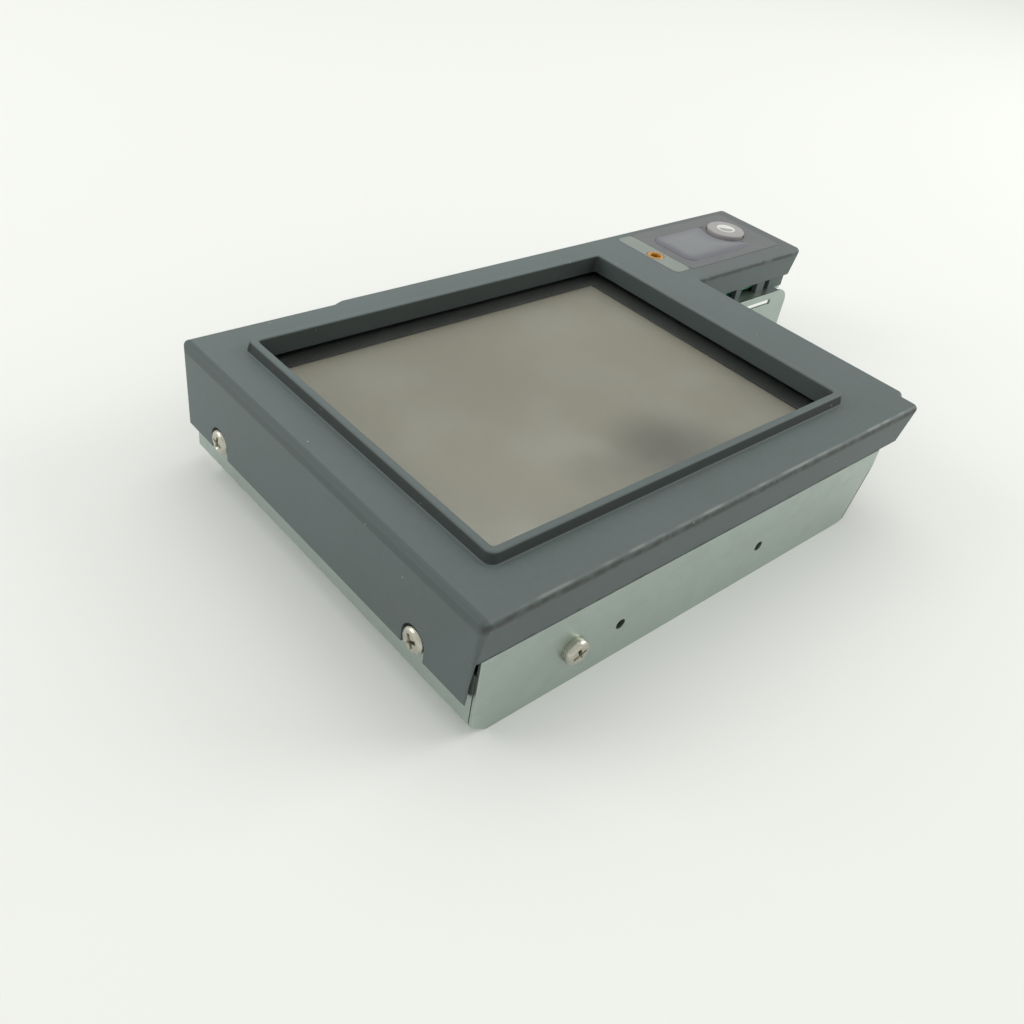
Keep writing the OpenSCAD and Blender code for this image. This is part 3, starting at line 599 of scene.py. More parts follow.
def board_paint(graph):
    spot = graph.place()
    x, y, _ = graph.axes(spot)
    rows = (x * 0.8).math("FRACT").step(0.36, 0.44)
    columns = (y * 0.8).math("FRACT").step(0.36, 0.44)
    choice = graph.noise(spot, 0.11, 1.0).step(0.49, 0.51)
    tracks = rows * choice + columns * (1 - choice)
    vias = 1 - graph.cells(spot, 0.28).step(0.10, 0.14)
    colour = graph.mix(tracks * 0.8, (0.012, 0.150, 0.060), (0.020, 0.235, 0.095))
    colour = graph.mix(vias, colour, (0.55, 0.50, 0.36))
    return {"Base Color": colour, "Roughness": 0.28 + tracks * 0.1,
            "Normal": graph.bump(tracks + vias, 0.3, 0.04)}


def ribbon_paint(first, second, per_mm, axis):
    def paint(graph):
        spot = graph.place()
        along = graph.axes(spot)[axis]
        lines = (along * per_mm).math("FRACT").step(0.42, 0.55)
        cloud = graph.noise(spot, 0.2, 3.0)
        colour = graph.tint(graph.mix(lines, first, second), 0.9 + cloud * 0.2)
        return {"Base Color": colour, "Roughness": 0.3 + cloud * 0.2,
                "Normal": graph.bump(lines, 0.4, 0.05)}
    return paint


green_board = finish("solder_mask", board_paint)
copper_film = finish("polyimide_tail", ribbon_paint((0.42, 0.20, 0.05), (0.62, 0.34, 0.10), 1.6, 0))
grey_ribbon = finish("grey_ribbon", ribbon_paint((0.34, 0.35, 0.37), (0.48, 0.50, 0.52), 0.8, 1))
black_foam = speckled("black_foam", (0.018, 0.018, 0.019), 0.75, 2.2, 0.8, 0.6)
black_epoxy = speckled("moulded_epoxy", (0.022, 0.023, 0.025), 0.45)
green_nylon = speckled("green_nylon", (0.025, 0.165, 0.050), 0.40)
black_nylon = speckled("black_nylon", (0.024, 0.026, 0.030), 0.38)
white_nylon = speckled("white_nylon", (0.74, 0.74, 0.70), 0.45, contrast=0.12)
white_film = speckled("white_film", (0.80, 0.80, 0.77), 0.5, contrast=0.08)
sleeve = speckled("capacitor_sleeve", (0.030, 0.036, 0.085), 0.25, contrast=0.2)
tape = speckled("yellow_tape", (0.62, 0.42, 0.07), 0.3, contrast=0.2)
brass = speckled("brass", (0.60, 0.43, 0.18), 0.25, 3.0, 0.3, Metallic=1.0)
spring_steel = speckled("spring_steel", (0.55, 0.55, 0.54), 0.22, 3.0, 0.25, Metallic=1.0)
acrylic = clear_sheet("light_guide_acrylic", (0.93, 0.96, 0.96, 1), 0.12, 0.05)
print("made", len(bpy.data.materials), "materials")

# %% [markdown]
# ## Giving CAD pieces their finish
# Pieces whose CAD shape is already right keep it: sheets, boards and films are flat on the real thing
# too.  Only their material slots change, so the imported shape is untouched.

# %% Finishes of the CAD pieces
FINISHES = {
    film_clear: ["touch_film"],
    glass_clear: ["touch_glass"],
    acrylic: ["light_guide"],
    polariser: ["lcd_glass"],
    black_metal: ["lcd_frame"],
    black_foam: ["window_gasket", "lcd_pads"],
    white_film: ["diffuser_sheet", "backlight_lamp"],
    zinc_sheet: ["display_bracket", "lcd_tray"],
    green_board: ["main_board", "inverter_board", "lcd_board", "key_board"],
    black_epoxy: ["main_chips", "key_switches"],
    sleeve: ["capacitors"],
    tape: ["inverter_transformer"],
    brass: ["board_standoffs"],
    copper_film: ["touch_tail", "lcd_ribbon"],
    grey_ribbon: ["key_ribbon"],
    white_nylon: ["key_spacers"],
    spring_steel: ["button_spring", "pad_spring"],
    nickel: ["side_washers"],
    overlay_film: ["wing_overlay"],
    strip_film: ["status_strip"],
}
for material, names in FINISHES.items():
    for name in names:
        nodes[name].data.materials.clear()
        nodes[name].data.materials.append(material)
print("CAD pieces that keep their shape:", sum(map(len, FINISHES.values())))

# %% [markdown]
# ## Closing a mesh
# Every new piece ends the same way: doubles merged, faces turned outwards, hard edges marked by angle,
# and weighted normals, so that flat faces stay flat beside rounded edges.


# %% Finishing helpers
def finished(name, bm, material, replaces, body="housing"):
    """Makes a piece from a bmesh in frame metres and hands it to the frame."""
    bmesh.ops.remove_doubles(bm, verts=bm.verts, dist=1e-6)
    bmesh.ops.dissolve_degenerate(bm, edges=bm.edges, dist=1e-7)
    bmesh.ops.recalc_face_normals(bm, faces=bm.faces)
    obj = smooth_piece(name, bm, material)
    weigh(obj)
    hand_over(obj, body, replaces)


def smooth_piece(name, bm, material):
    """An object with smooth faces that meet sharply where they turn by more than 40 degrees."""
    for face in bm.faces:
        face.smooth = True
    mesh = mesh_from(bm, name)
    mesh.set_sharp_from_angle(angle=math.radians(40))
    mesh.materials.append(material)
    return link(bpy.data.objects.new(name, mesh))


def weigh(obj):
    """Weights the normals by face area, and bakes the object's modifiers into its mesh."""
    weighted = obj.modifiers.new("weighted", "WEIGHTED_NORMAL")
    weighted.keep_sharp = True
    bake(obj)


def hand_over(obj, body, replaces):
    """Tells the frame what the piece rides on, which CAD nodes it replaces."""
    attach(obj, body)
    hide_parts(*replaces)
    print(obj.name, "faces", len(obj.data.polygons))


def bake(obj):
    """Puts the result of an object's modifiers into its own mesh."""
    bpy.context.view_layer.update()
    graph = bpy.context.evaluated_depsgraph_get()
    mesh = bpy.data.meshes.new_from_object(obj.evaluated_get(graph))
    obj.modifiers.clear()
    obj.data = mesh


print("a finished piece is merged, smoothed and handed over")

# %% [markdown]
# The shapes are drawn as rows of vertices in work millimetres.  Neighbouring rows are bridged with quads,
# and flat areas with openings are filled between their edge loops.


# %% Rows, arcs and planes
def to_frame(bm):
    """Takes a bmesh from work millimetres to frame metres."""
    bmesh.ops.transform(bm, matrix=Matrix.Translation(corner) @ Matrix.Scale(MM, 4), verts=bm.verts)
    return bm


def bridge(bm, first, second, closed=True):
    """Quads between two rows with the same number of vertices."""
    count = len(first)
    for i in range(count if closed else count - 1):
        j = (i + 1) % count
        corners = [first[i], first[j], second[j], second[i]]
        distinct = [v for k, v in enumerate(corners) if v not in corners[:k]]
        if len(distinct) > 2:
            bm.faces.new(distinct)


def arc(centre, radius, start, end, count):
    """Points on an arc, angles in degrees, both ends included."""
    angles = [math.radians(start + (end - start) * i / count) for i in range(count + 1)]
    return [(centre[0] + radius * math.cos(a), centre[1] + radius * math.sin(a)) for a in angles]


def circle(centre, radius, sides):
    """Points all round a circle, without the first one again."""
    return arc(centre, radius, 0, 360 - 360 / sides, sides - 1)


def fill_plane(bm, loops):
    """Fills the area between the first loop of vertices and the loops inside it."""
    edges = []
    for loop in loops:
        for a, b in zip(loop, loop[1:] + loop[:1]):
            edges.append(bm.edges.get((a, b)) or bm.edges.new((a, b)))
    bmesh.ops.triangle_fill(bm, use_beauty=True, use_dissolve=False, edges=edges)


print("rows can be bridged and planes filled")

# %% [markdown]
# ## The bezel
# The bezel is one moulding, so its top edge is rounded and its walls lean in for the mould.  A bevel on
# the CAD solid can't give both, so the skin is laid in rings: each ring is the outline moved in by a
# distance that may differ from side to side, with round corners.  `Outline` works out one such ring.


# %% Outline of the bezel
class Outline:
    """A closed outline of straight sides with round corners, run anticlockwise."""

    def __init__(self, corners, radii, stops):
        self.corners = [Vector(c) for c in corners]
        self.radii = radii
        self.stops = stops

    def side(self, i):
        start, end = self.corners[i], self.corners[(i + 1) % len(self.corners)]
        along = (end - start).normalized()
        return start, along, Vector((-along.y, along.x))

    def bend(self, i, insets, shrink):
        """The round corner i of a ring, as points."""
        count = len(self.corners)
        _, before, normal_a = self.side((i - 1) % count)
        start, after, normal_b = self.side(i)
        convex = before.cross(after) > 0
        share = 1 + normal_a.dot(normal_b)
        inset_a, inset_b = insets[(i - 1) % count], insets[i]
        skew = (inset_b - inset_a * normal_a.dot(normal_b)) / before.dot(normal_b)
        vertex = start + normal_a * inset_a + before * skew
        radius = self.radii[i] - shrink if convex else self.radii[i] + shrink
        radius = max(radius, 0.02)
        way = 1 if convex else -1
        centre = vertex + (normal_a + normal_b) / share * radius * way
        first = math.degrees(math.atan2(-normal_a.y * way, -normal_a.x * way))
        swing = math.degrees(before.angle_signed(after)) * -1
        return arc(centre, radius, first, first + swing, 6)

    def ring(self, insets, shrink):
        """All the points of a ring: insets holds one distance for each side."""
        points = []
        for i in range(len(self.corners)):
            points += self.bend(i, insets, shrink)
            start, along, normal = self.side(i)
            points += [tuple(start + along * s + normal * insets[i]) for s in self.stops[i]]
        return points


print("outline class ready")

# %% [markdown]
# The foot of the skirt isn't level: it is deep on the left, shallow elsewhere, shallower still on the
# wing, and two notches leave room for screw heads.  So each point of the outline also has the depth of
# the foot below it, and a step is two stops that nearly touch.

# %% Sides and feet of the bezel
STEP_X = 50.0
RELIEF_W, RELIEF_D = 2.4, 6.6
LEFT_FOOT, SLANT_FOOT, FOOT, WING_FOOT = 25.4, 19.0, 12.8, 10.3
NOTCH_R = 4.1
TOP_ROUND = 1.35
HAIR = 0.02
screw_low, screw_high = work_box("side_screws")
HEAD_R, HEAD_H = 3.6, 2.6
SCREW_Z = (screw_low.z + screw_high.z) / 2
SCREW_Y = (screw_low.y + HEAD_R, screw_high.y - HEAD_R)


def notch(y):
    """Stops round the notch at y on the left side, which runs from the back to the front."""
    middle = PANEL_D - y
    angles = [math.pi * i / 14 for i in range(15)]
    arch = [(middle - NOTCH_R * math.cos(a), -SCREW_Z - NOTCH_R * math.sin(a)) for a in angles]
    return [(arch[0][0] - HAIR, LEFT_FOOT)] + arch + [(arch[-1][0] + HAIR, LEFT_FOOT)]


corners = [(0, 0), (PANEL_W - RELIEF_W, 0), (PANEL_W - RELIEF_W, RELIEF_D), (PANEL_W, RELIEF_D),
           (PANEL_W, WING_Y), (WIDTH, WING_Y), (WIDTH, BACK), (STEP_X, BACK), (STEP_X - 3, PANEL_D),
           (0, PANEL_D)]
corner_r = [2.0, 1.9, 0.4, 1.9, 0.8, 2.1, 2.1, 1.9, 0.8, 1.6]
corner_foot = [[LEFT_FOOT] * 3 + [SLANT_FOOT] + [FOOT] * 3] + [[f] * 7 for f in (
    FOOT, FOOT, FOOT, FOOT, WING_FOOT, WING_FOOT, FOOT, FOOT, LEFT_FOOT)]
draft = [1.6, 0.9, 0.9, 0.9, 0.9, 1.1, 0.5, 0.5, 0.5, 0.0]
left_stops = notch(SCREW_Y[1]) + notch(SCREW_Y[0])
side_stops = [[(40, FOOT), (100, FOOT)], [], [], [(40, FOOT)], [(1.0, FOOT), (1.0 + HAIR, WING_FOOT)], [],
              [(WING_W, WING_FOOT), (WING_W + HAIR, FOOT)], [],
              [(STEP_X - 5.5, FOOT), (STEP_X - 5.5 + HAIR, LEFT_FOOT)], left_stops]
outer = Outline(corners, corner_r, [[s for s, _ in stops] for stops in side_stops])
lower = Outline(corners, [1.2] + corner_r[1:], outer.stops)
inner = Outline(corners, [0.05] * len(corners), outer.stops)
feet = [depth for i, stops in enumerate(side_stops) for depth in corner_foot[i] + [d for _, d in stops]]
print("points round the bezel:", len(feet))

# %% [markdown]
# The rim round the window is the same trick with a rounded rectangle: a list of steps outwards and
# upwards is the rim's section, with a small hollow where it meets the top and a soft crown.


# %% Rim round the window
def rim_section():
    """The rim's section from its foot outside, over its crown, down the recess and under the plate."""
    cove, crown, inside = 0.4, 0.7, 0.5
    section = [(RIM_W + cove * (1 - math.sin(a)), cove * (1 - math.cos(a)))
               for a in [math.pi / 2 * i / 4 for i in range(5)]]
    top_out = RIM_W - 0.45
    section += [(top_out - crown * (1 - math.cos(a)), RIM_H - crown * (1 - math.sin(a)))
                for a in [math.pi / 2 * i / 5 for i in range(6)]]
    section += [(0.12 + inside * (1 - math.sin(a)), RIM_H - inside * (1 - math.cos(a)))
                for a in [math.pi / 2 * i / 4 for i in range(5)]]
    return section + [(0.0, -SHELL - 0.3), (RIM_W, -SHELL - 0.3), (RIM_W, -SHELL)]


x0, y0, x1, y1 = WINDOW
window = Outline([(x0, y0), (x1, y0), (x1, y1), (x0, y1)], [0.9] * 4, [[]] * 4)
print("rim section of", len(rim_section()), "points")

# %% [markdown]
# The pad key is a rounded bar with a bite taken out for the round key, so its outline is a chain of arcs.
# Grown by a gap the same outline gives the hole, and grown by a lip it gives the part under the plate.

# %% Openings for the keys
pad_low, pad_high = work_box("pad_key")
KEY_LIP = 0.9
PAD = (pad_low.x + KEY_LIP, pad_low.y + KEY_LIP, pad_high.x - KEY_LIP, pad_high.y - KEY_LIP)
BUTTON_R = 7.0
KEY_GAP = 0.3
PAD_CUT = 8.7


def pad_path(by):
    """The pad key's outline grown by a distance: a rounded bar that makes room for the round key."""
    r, nose, shoulder = 4.0, 2.0, 1.2
    left, front, _, back = PAD
    nose_y, shoulder_y = front + nose, back - shoulder
    nose_x = BUTTON.x - math.sqrt((PAD_CUT + nose) ** 2 - (nose_y - BUTTON.y) ** 2)
    shoulder_x = BUTTON.x - math.sqrt((PAD_CUT + shoulder) ** 2 - (shoulder_y - BUTTON.y) ** 2)
    to_nose = math.degrees(math.atan2(nose_y - BUTTON.y, nose_x - BUTTON.x)) + 360
    to_shoulder = math.degrees(math.atan2(shoulder_y - BUTTON.y, shoulder_x - BUTTON.x))
    path = arc((left + r, front + r), r + by, 180, 270, 8)
    path += arc((nose_x, nose_y), nose + by, -90, to_nose - 180, 10)
    path += arc((BUTTON.x, BUTTON.y), PAD_CUT - by, to_nose, to_shoulder, 20)[1:-1]
    path += arc((shoulder_x, shoulder_y), shoulder + by, to_shoulder - 180, 90, 8)
    return path + arc((left + r, back - r), r + by, 90, 180, 8)


def row(bm, points, z):
    """Vertices at points, at a height z or at one height for each point."""
    heights = z if isinstance(z, (list, tuple)) else [z] * len(points)
    return [bm.verts.new((x, y, h)) for (x, y), h in zip(points, heights)]


def opening(bm, path_of):
    """A hole through the top plate with an eased edge: returns its top and bottom rows."""
    top, ease, foot = (row(bm, path_of(0.2), 0), row(bm, path_of(0), -0.2), row(bm, path_of(0), -SHELL))
    bridge(bm, top, ease)
    bridge(bm, ease, foot)
    return top, foot


print("pad key", round(PAD[2] - PAD[0], 1), "x", round(PAD[3] - PAD[1], 1), "mm")

# %% [markdown]
# With the rings ready, the skin is closed: the top plate is the area between the outer ring, the rim
# and three openings, and the underside is the same a wall's thickness lower.  Screw bosses and ribs are
# closed bodies of their own that run into the plate, which keeps the skin simple.


# %% Skin of the bezel
def bezel_skin(bm):
    """Rings from the rounded top edge down to the foot, up the inside and across the plate."""
    angles = [math.pi / 2 * i / 6 for i in range(7)]
    rows = []
    for a in angles:
        inset = TOP_ROUND * (1 - math.sin(a))
        points = outer.ring([inset] * len(corners), inset)
        rows.append(row(bm, points, -TOP_ROUND * (1 - math.cos(a))))
    ease = 0.22
    rows.append(row(bm, lower.ring(draft, 0), [-d + ease for d in feet]))
    rows.append(row(bm, lower.ring([d + ease for d in draft], ease), [-d for d in feet]))
    rows.append(row(bm, inner.ring([d + SHELL - ease for d in draft], 0), [-d for d in feet]))
    rows.append(row(bm, inner.ring([d + SHELL for d in draft], 0), [-d + ease for d in feet]))
    rows.append(row(bm, inner.ring([d + SHELL for d in draft], 0), -SHELL))
    for first, second in zip(rows, rows[1:]):
        bridge(bm, first, second)
    rim = [row(bm, window.ring([-o] * 4, -0.6 * o), z) for o, z in rim_section()]
    for first, second in zip(rim, rim[1:]):
        bridge(bm, first, second)
    holes = [opening(bm, pad_hole), opening(bm, button_hole), opening(bm, lens_hole)]
    fill_plane(bm, [rows[0], rim[0]] + [top for top, _ in holes])
    fill_plane(bm, [rows[-1], rim[-1]] + [foot for _, foot in holes])


def pad_hole(by):
    return pad_path(KEY_GAP + by)


def button_hole(by):
    return circle((BUTTON.x, BUTTON.y), BUTTON_R + KEY_GAP + by, 72)


def lens_hole(by):
    return circle((LENS.x, LENS.y), (lens_high.x - lens_low.x) / 2 + 0.05 + by, 48)


print("the skin has", len(rim_section()), "rings down the rim")

# %% [markdown]
# Bosses take the screws of the display bracket and of the key board.  Ribs stand behind the wing's open
# front edge.  Each is a closed body that starts inside the plate, as a mould would give it one root.


# %% Bosses and ribs
def box_body(bm, low, high):
    """A closed block between two corners."""
    size = Vector(high) - Vector(low)
    middle = (Vector(high) + Vector(low)) / 2
    matrix = Matrix.Translation(middle) @ Matrix.Diagonal((*size, 1))
    bmesh.ops.create_cube(bm, size=1, matrix=matrix)


def turned(bm, x, y, section, sides=32):
    """A closed turned body about an upright axis: section is a list of (radius, z)."""
    rows = []
    for r, z in section:
        if r < 1e-6:
            rows.append([bm.verts.new((x, y, z))] * sides)
        else:
            rows.append(row(bm, circle((x, y), r, sides), z))
    closed = section[0][0] > 1e-6
    for first, second in zip(rows, rows[1:] + rows[:1] if closed else rows[1:]):
        bridge(bm, first, second)


def bezel_inside(bm):
    """Bosses that take the screws, ribs behind the wing's front and its inner wall."""
    bracket_z = work(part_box("display_bracket")[1]).z
    board_z = work_box("key_board")[1].z
    shelf_z = work_box("key_bracket")[1].z
    bolt_low, bolt_high = work_box("bezel_screws")
    head, hole, boss = 2.4, 1.3, 2.75
    places = [(x, y, bracket_z) for x in (bolt_low.x + head, bolt_high.x - head)
              for y in (bolt_low.y + head, bolt_high.y - head)]
    places += [(x, y, board_z) for x, y in wing_bolts()]
    for x, y, z in places:
        turned(bm, x, y, [(hole, z), (boss, z), (boss, -SHELL + 0.1), (hole, -SHELL + 0.1)])
    rib_y, rib_t, plate = WING_Y + 2.6, 1.8, -SHELL + 0.1
    for far, near in ((31, 28), (18.5, 14), (11, SHELL + rib_t)):
        box_body(bm, (WIDTH - far, rib_y, shelf_z), (WIDTH - near, rib_y + rib_t, plate))
    box_body(bm, (WIDTH - SHELL - rib_t, rib_y, shelf_z), (WIDTH - SHELL, BACK - SHELL, plate))


def wing_bolts():
    """The four screws of the wing, from its strip and its end."""
    strip_right = work_box("status_strip")[1].x
    front = WING_Y + 8.5
    return [(strip_right - 1.5, front), (strip_right + 2, BACK - 7.6),
            (WIDTH - 9.6, BACK - 7.6), (WIDTH - 9.6, front)]


bm = bmesh.new()
bezel_skin(bm)
bezel_inside(bm)
finished("bezel_moulding", to_frame(bm), bezel_plastic, ["front_bezel"])

# %% [markdown]
# ## Sheet metal
# A folded sheet has two kinds of edge: bends, which are round, and cut edges, which are nearly sharp.
# The CAD solid of the chassis has both as hard corners.  A copy of its mesh is merged and flattened into
# whole faces, each hard edge gets a bevel weight by its kind, and the Bevel modifier rounds them.


# %% Easing a CAD copy
WALL_MM2 = 300


def eased(name, node, material, bend_mm=0.0, cut_mm=0.12):
    """A copy of a CAD piece whose edges are rounded: bends by bend_mm and the rest by cut_mm."""
    bm = bmesh.new()
    bm.from_mesh(nodes[node].data)
    bmesh.ops.remove_doubles(bm, verts=bm.verts, dist=2e-6)
    bmesh.ops.dissolve_limit(bm, angle_limit=math.radians(0.6), verts=bm.verts, edges=bm.edges)
    layer = bm.edges.layers.float.new("bevel_weight_edge")
    widest = max(bend_mm, cut_mm)
    walls = {f for f in bm.faces if f.calc_area() / MM / MM > WALL_MM2}
    for edge in bm.edges:
        if len(edge.link_faces) != 2 or edge.calc_face_angle(0) < math.radians(25):
            continue
        is_bend = bend_mm > 0 and all(f in walls for f in edge.link_faces)
        edge[layer] = (bend_mm if is_bend else cut_mm) / widest
    obj = smooth_piece(name, bm, material)
    bevel = obj.modifiers.new("bevel", "BEVEL")
    bevel.limit_method = "WEIGHT"
    bevel.width = widest * MM
    bevel.segments = 3
    bevel.use_clamp_overlap = True
    bevel.harden_normals = False
    weigh(obj)
    hand_over(obj, "housing", [node])


eased("folded_chassis", "chassis_tray", zinc_sheet, bend_mm=0.8)
eased("wing_bracket_sheet", "key_bracket", zinc_sheet, bend_mm=0.7)
eased("power_socket_housing", "power_connector", green_nylon, cut_mm=0.15)
eased("data_socket_housing", "data_connector", black_nylon, cut_mm=0.15)

# %% [markdown]
# ## Screws
# Every screw is the same kind of part: a pan head with a cross recess on a plain shank.  One head is
# turned from its section and the recess is cut with a tapered cross.  A Geometry Nodes tree then sets
# copies on marked points, each turned to its own direction, because that is one shape in many places.


# %% One screw
def cross_cutter(span, width, top, depth):
    """A tapered cross that cuts the recess: widest at the top of the head."""
    bm = bmesh.new()
    s, w = span / 2, width / 2
    plan = [(s, -w), (s, w), (w, w), (w, s), (-w, s), (-w, w), (-s, w), (-s, -w), (-w, -w), (-w, -s),
            (w, -s), (w, -w)]
    above = row(bm, [(x * 1.12, y * 1.12) for x, y in plan], top + 0.25 * depth)
    below = row(bm, [(x * 0.35, y * 0.35) for x, y in plan], top - depth)
    bridge(bm, above, below)
    bm.faces.new(above)
    bm.faces.new(below)
    bmesh.ops.recalc_face_normals(bm, faces=bm.faces)
    return link(bpy.data.objects.new("cutter", mesh_from(bm, "cutter")))


def pan_screw(name, shank_r, length, head_r, head_h):
    """A screw in metres along Z: the seat at zero, the head above and the shank below."""
    crown = [(head_r * r, head_h * h) for r, h in
             ((0, 1.0), (0.5, 0.99), (0.73, 0.95), (0.86, 0.86), (0.95, 0.7), (1.0, 0.5), (1.0, 0.06),
              (0.98, 0.0))]
    shank = [(shank_r, 0.0), (shank_r, -length + 0.4), (shank_r - 0.4, -length), (0, -length)]
    bm = bmesh.new()
    turned(bm, 0, 0, crown + shank, sides=40)
    bmesh.ops.remove_doubles(bm, verts=bm.verts, dist=1e-5)
    bmesh.ops.recalc_face_normals(bm, faces=bm.faces)
    for face in bm.faces:
        face.smooth = True
    screw = link(bpy.data.objects.new(name, mesh_from(bm, name)))
    cutter = cross_cutter(head_r * 1.22, head_r * 0.30, head_h, head_h * 0.62)
    cut = screw.modifiers.new("recess", "BOOLEAN")
    cut.object = cutter
    cut.solver = "EXACT"
    bake(screw)
    bpy.data.objects.remove(cutter)
    # Vertices in the cross recess are marked for the painted shade and dirt of the nickel finish.
    recess_shade_and_grime = screw.data.attributes.new("recess_shade_and_grime", "FLOAT", "POINT")
    for vert, item in zip(screw.data.vertices, recess_shade_and_grime.data):
        in_recess = math.hypot(vert.co.x, vert.co.y) < 0.68 * head_r and 0 < vert.co.z < 0.93 * head_h
        item.value = 1.0 if in_recess else 0.0
    screw.data.transform(Matrix.Scale(MM, 4))
    screw.data.set_sharp_from_angle(angle=math.radians(38))
    return screw


print("a screw is turned from its section and cut with a cross")

# %% [markdown]
# The tree has named inputs for the screw, its size and its finish.  It ends in Realize Instances and
# Set Material, so that the result is one plain mesh.


# %% The screw tree
def screw_tree():
    tree = bpy.data.node_groups.new("screws_on_points", "GeometryNodeTree")
    sockets = {"Points": "Geometry", "Screw": "Object", "Size": "Float", "Finish": "Material"}
    for name, kind in sockets.items():
        tree.interface.new_socket(name, in_out="INPUT", socket_type="NodeSocket" + kind)
    tree.interface.new_socket("Screws", in_out="OUTPUT", socket_type="NodeSocketGeometry")
    graph = Graph(tree)
    given = tree.nodes.new("NodeGroupInput")
    points, screw, size, material = [Value(graph, s) for s in given.outputs[:4]]
    aim = graph.make("GeometryNodeInputNamedAttribute", {"data_type": "FLOAT_VECTOR"}, "aim")
    turn_by = graph.make("GeometryNodeInputNamedAttribute", {"data_type": "FLOAT"}, "turn")
    facing = graph.make("FunctionNodeAlignRotationToVector", {"axis": "Z"}, inputs={"Vector": aim})
    spin = graph.make("FunctionNodeAxisAngleToRotation", {}, inputs={"Axis": (0, 0, 1), "Angle": turn_by})
    rotation = graph.make("FunctionNodeRotateRotation", {"rotation_space": "LOCAL"}, facing, spin)
    model = graph.make("GeometryNodeObjectInfo", {}, screw, out="Geometry")
    copies = graph.make("GeometryNodeInstanceOnPoints", {}, inputs={
        "Points": points, "Instance": model, "Rotation": rotation, "Scale": size})
    real = graph.make("GeometryNodeRealizeInstances", {}, copies)
    painted = graph.make("GeometryNodeSetMaterial", {}, inputs={"Geometry": real, "Material": material})
    result = tree.nodes.new("NodeGroupOutput")
    graph.plug(result.inputs[0], painted)
    return tree


tree = screw_tree()
print("tree", tree.name, "has", len(tree.nodes), "nodes")

# %% [markdown]
# The marked points carry two attributes: the direction that the head faces and the turn of its recess.
# Hand-driven screws never line up, so each turn differs.  The case screws sit on the chassis walls.


# %% Setting the screws
def place_screws(name, tree, screw, seats, replaces):
    """Screws on seats, each (place in metres, direction of the head, turn in degrees)."""
    mesh = bpy.data.meshes.new(name)
    mesh.from_pydata([place for place, _, _ in seats], [], [])
    mesh.attributes.new("aim", "FLOAT_VECTOR", "POINT").data.foreach_set(
        "vector", [c for _, aim, _ in seats for c in aim])
    mesh.attributes.new("turn", "FLOAT", "POINT").data.foreach_set(
        "value", [math.radians(t) for _, _, t in seats])
    obj = link(bpy.data.objects.new(name, mesh))
    modifier = obj.modifiers.new("screws", "NODES")
    modifier.node_group = tree
    values = {"Screw": screw, "Size": 1.0, "Finish": nickel}
    for socket in tree.interface.items_tree:
        if socket.in_out == "INPUT" and socket.name in values:
            modifier[socket.identifier] = values[socket.name]
    bake(obj)
    bpy.data.objects.remove(screw)
    hand_over(obj, "housing", replaces)


flange_low, flange_high = work_box("flange_screws")
flange_x, flange_z = (flange_low.x + flange_high.x) / 2, (flange_low.z + flange_high.z) / 2
FRONT_FACE = flange_low.y + HEAD_H
BACK_FACE = flange_high.y - HEAD_H
LEFT_FACE = screw_low.x + HEAD_H
case_seats = [(at(LEFT_FACE, y, SCREW_Z), (-1, 0, 0), 28 - 40 * i) for i, y in enumerate(SCREW_Y)]
case_seats += [(at(flange_x, FRONT_FACE, flange_z), (0, -1, 0), 20),
               (at(flange_x, BACK_FACE, flange_z), (0, 1, 0), 50)]
place_screws("case_screws", tree, pan_screw("case_screw", 2.0, 6.0, HEAD_R, HEAD_H), case_seats,
             ["side_screws", "flange_screws"])

# %% [markdown]
# The small screws inside go up from below.  Their seats are read from the CAD screws: a search along the
# edges finds each loose body, and the seat is at the middle of its box, one head's height from its foot.


# %% Small screws
def down_seats(node, head_h):
    """Seats of small screws that go up from below, one for each loose body of a CAD node."""
    bm = bmesh.new()
    bm.from_mesh(nodes[node].data)
    bmesh.ops.remove_doubles(bm, verts=bm.verts, dist=1e-6)
    seats, seen = [], set()
    for vert in bm.verts:
        if vert in seen:
            continue
        island, edge_of = [], [vert]
        seen.add(vert)
        while edge_of:
            v = edge_of.pop()
            island.append(v.co.copy())
            for edge in v.link_edges:
                other = edge.other_vert(v)
                if other not in seen:
                    seen.add(other)
                    edge_of.append(other)
        low = [min(c[k] for c in island) for k in range(3)]
        high = [max(c[k] for c in island) for k in range(3)]
        seats.append((Vector(((low[0] + high[0]) / 2, (low[1] + high[1]) / 2, low[2] + head_h * MM)),
                      (0, 0, -1), 17 * len(seats)))
    bm.free()
    return seats


SMALL_HEAD_H = 1.7
for name, node, length in (("bracket_screws", "bezel_screws", 6.0), ("board_screw_set", "board_screws", 5.0),
                           ("wing_screw_set", "wing_screws", 9.0)):
    small = pan_screw(name + "_one", 1.25, length, 2.4, SMALL_HEAD_H)
    place_screws(name, tree, small, down_seats(node, SMALL_HEAD_H), [node])

# %% [markdown]
# ## Keys, lens and pins
# The pad key is a soft dome, so it is laid in rings that step in as they rise, like the bezel's edge.
# The round key and the lens are turned.  Both keys keep the lip and the stem that hold and press them.


# %% Pad key
def clear_of_button(point, distance):
    """Moves a point out to a distance from the round key's centre."""
    away = Vector(point) - BUTTON.xy
    return point if away.length >= distance else tuple(BUTTON.xy + away.normalized() * distance)


def stem(bm, x, y, foot, top):
    """The pin under a key that presses its switch."""
    turned(bm, x, y, [(0, foot), (2.0, foot), (2.2, foot + 0.2), (2.2, top), (0, top)])


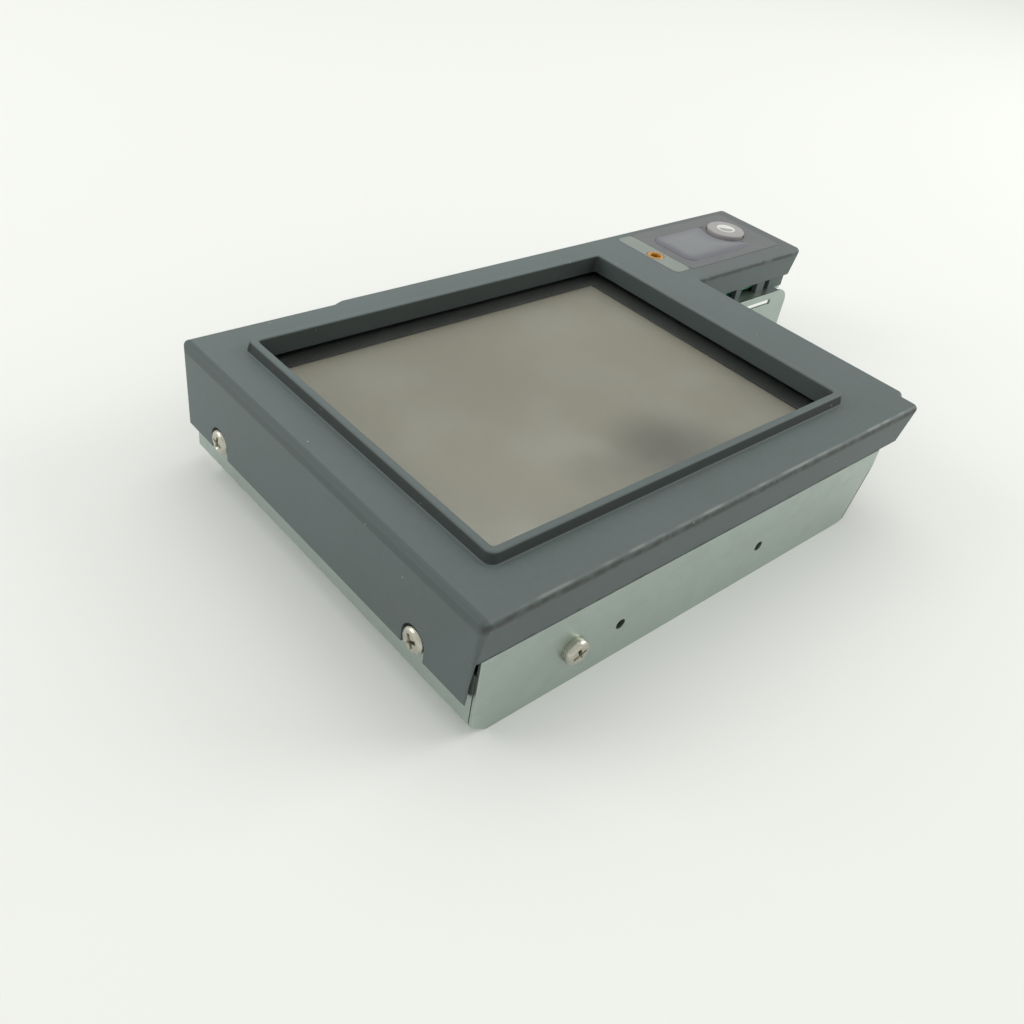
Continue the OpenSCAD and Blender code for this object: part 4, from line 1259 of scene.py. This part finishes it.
def pad_body(bm):
    lip_top = -SHELL - 0.15
    lip = [clear_of_button(p, PAD_CUT) for p in pad_path(KEY_LIP)]
    profile = [(0.0, lip_top), (0.0, -0.5), (0.2, -0.1), (0.22, 0.08), (0.1, 0.22), (-0.15, 0.34),
               (-0.5, 0.46), (-0.8, 0.55), (-1.1, 0.63)]
    rows = [row(bm, lip, lip_top - 1.0), row(bm, lip, lip_top)]
    rows += [row(bm, pad_path(by), z) for by, z in profile]
    middle = Vector((PAD[0] + 5.0, PAD[1] + 8.0))
    rise = pad_high.z - profile[-1][1]
    for t in (0.94, 0.87, 0.76, 0.6, 0.4, 0.2):
        points = [tuple(middle + (Vector(p) - middle) * t) for p in pad_path(profile[-1][0])]
        rows.append(row(bm, points, profile[-1][1] + rise * (1 - t ** 3)))
    for first, second in zip(rows, rows[1:]):
        bridge(bm, first, second)
    bm.faces.new(rows[-1])
    bm.faces.new(rows[0])
    stem_x, stem_y = (PAD[0] + PAD[2]) / 2 - 4.5, (PAD[1] + PAD[3]) / 2
    stem(bm, stem_x, stem_y, pad_low.z, lip_top - 0.5)


bm = bmesh.new()
pad_body(bm)
finished("soft_pad_key", to_frame(bm), pad_silicone, ["pad_key"], body="pad")

# %% [markdown]
# The round key, the lens and the lamp are bodies of revolution, so their sections are turned about an
# upright axis.  The lens is a ring with a round crown, and the lamp is a small dome inside it.


# %% Round key and lens
def button_body(bm):
    lip_top = -SHELL - 0.15
    top, shoulder = button_high.z, 0.55
    edge = [(BUTTON_R - shoulder + shoulder * math.cos(a), top - 0.12 - shoulder + shoulder * math.sin(a))
            for a in [math.pi / 2 * i / 5 for i in range(6)]]
    section = [(0, lip_top - 1.0), (BUTTON_R + KEY_LIP, lip_top - 1.0), (BUTTON_R + KEY_LIP, lip_top),
               (BUTTON_R, lip_top)] + edge + [(4.6, top - 0.03), (2.4, top), (0, top)]
    turned(bm, BUTTON.x, BUTTON.y, section, sides=72)
    stem(bm, BUTTON.x, BUTTON.y, button_low.z, lip_top - 0.5)


bm = bmesh.new()
button_body(bm)
finished("round_push_key", to_frame(bm), button_plastic, ["round_button"],
         body="button")

bm = bmesh.new()
lens_r, lens_hole_r, lens_top = (lens_high.x - lens_low.x) / 2, 1.8, lens_high.z
ring_r = (lens_r - lens_hole_r) / 2
crown = [(lens_r - ring_r + ring_r * math.cos(a), lens_top - ring_r + ring_r * math.sin(a))
         for a in [math.pi * i / 8 for i in range(9)]]
turned(bm, LENS.x, LENS.y, [(lens_hole_r, lens_low.z), (lens_r, lens_low.z)] + crown, sides=40)
finished("amber_ring_lens", to_frame(bm), amber, ["led_lens"])

bm = bmesh.new()
led_low, led_high = work_box("status_led")
led_r = (led_high.x - led_low.x) / 2
dome = [(led_r * math.cos(a), led_high.z - led_r + led_r * math.sin(a))
        for a in [math.pi / 2 * i / 8 for i in range(9)]]
turned(bm, LENS.x, LENS.y, [(0, led_low.z), (led_r, led_low.z)] + dome[:-1] + [(0, led_high.z)], sides=32)
finished("indicator_lamp", to_frame(bm), led_epoxy, ["status_led"])
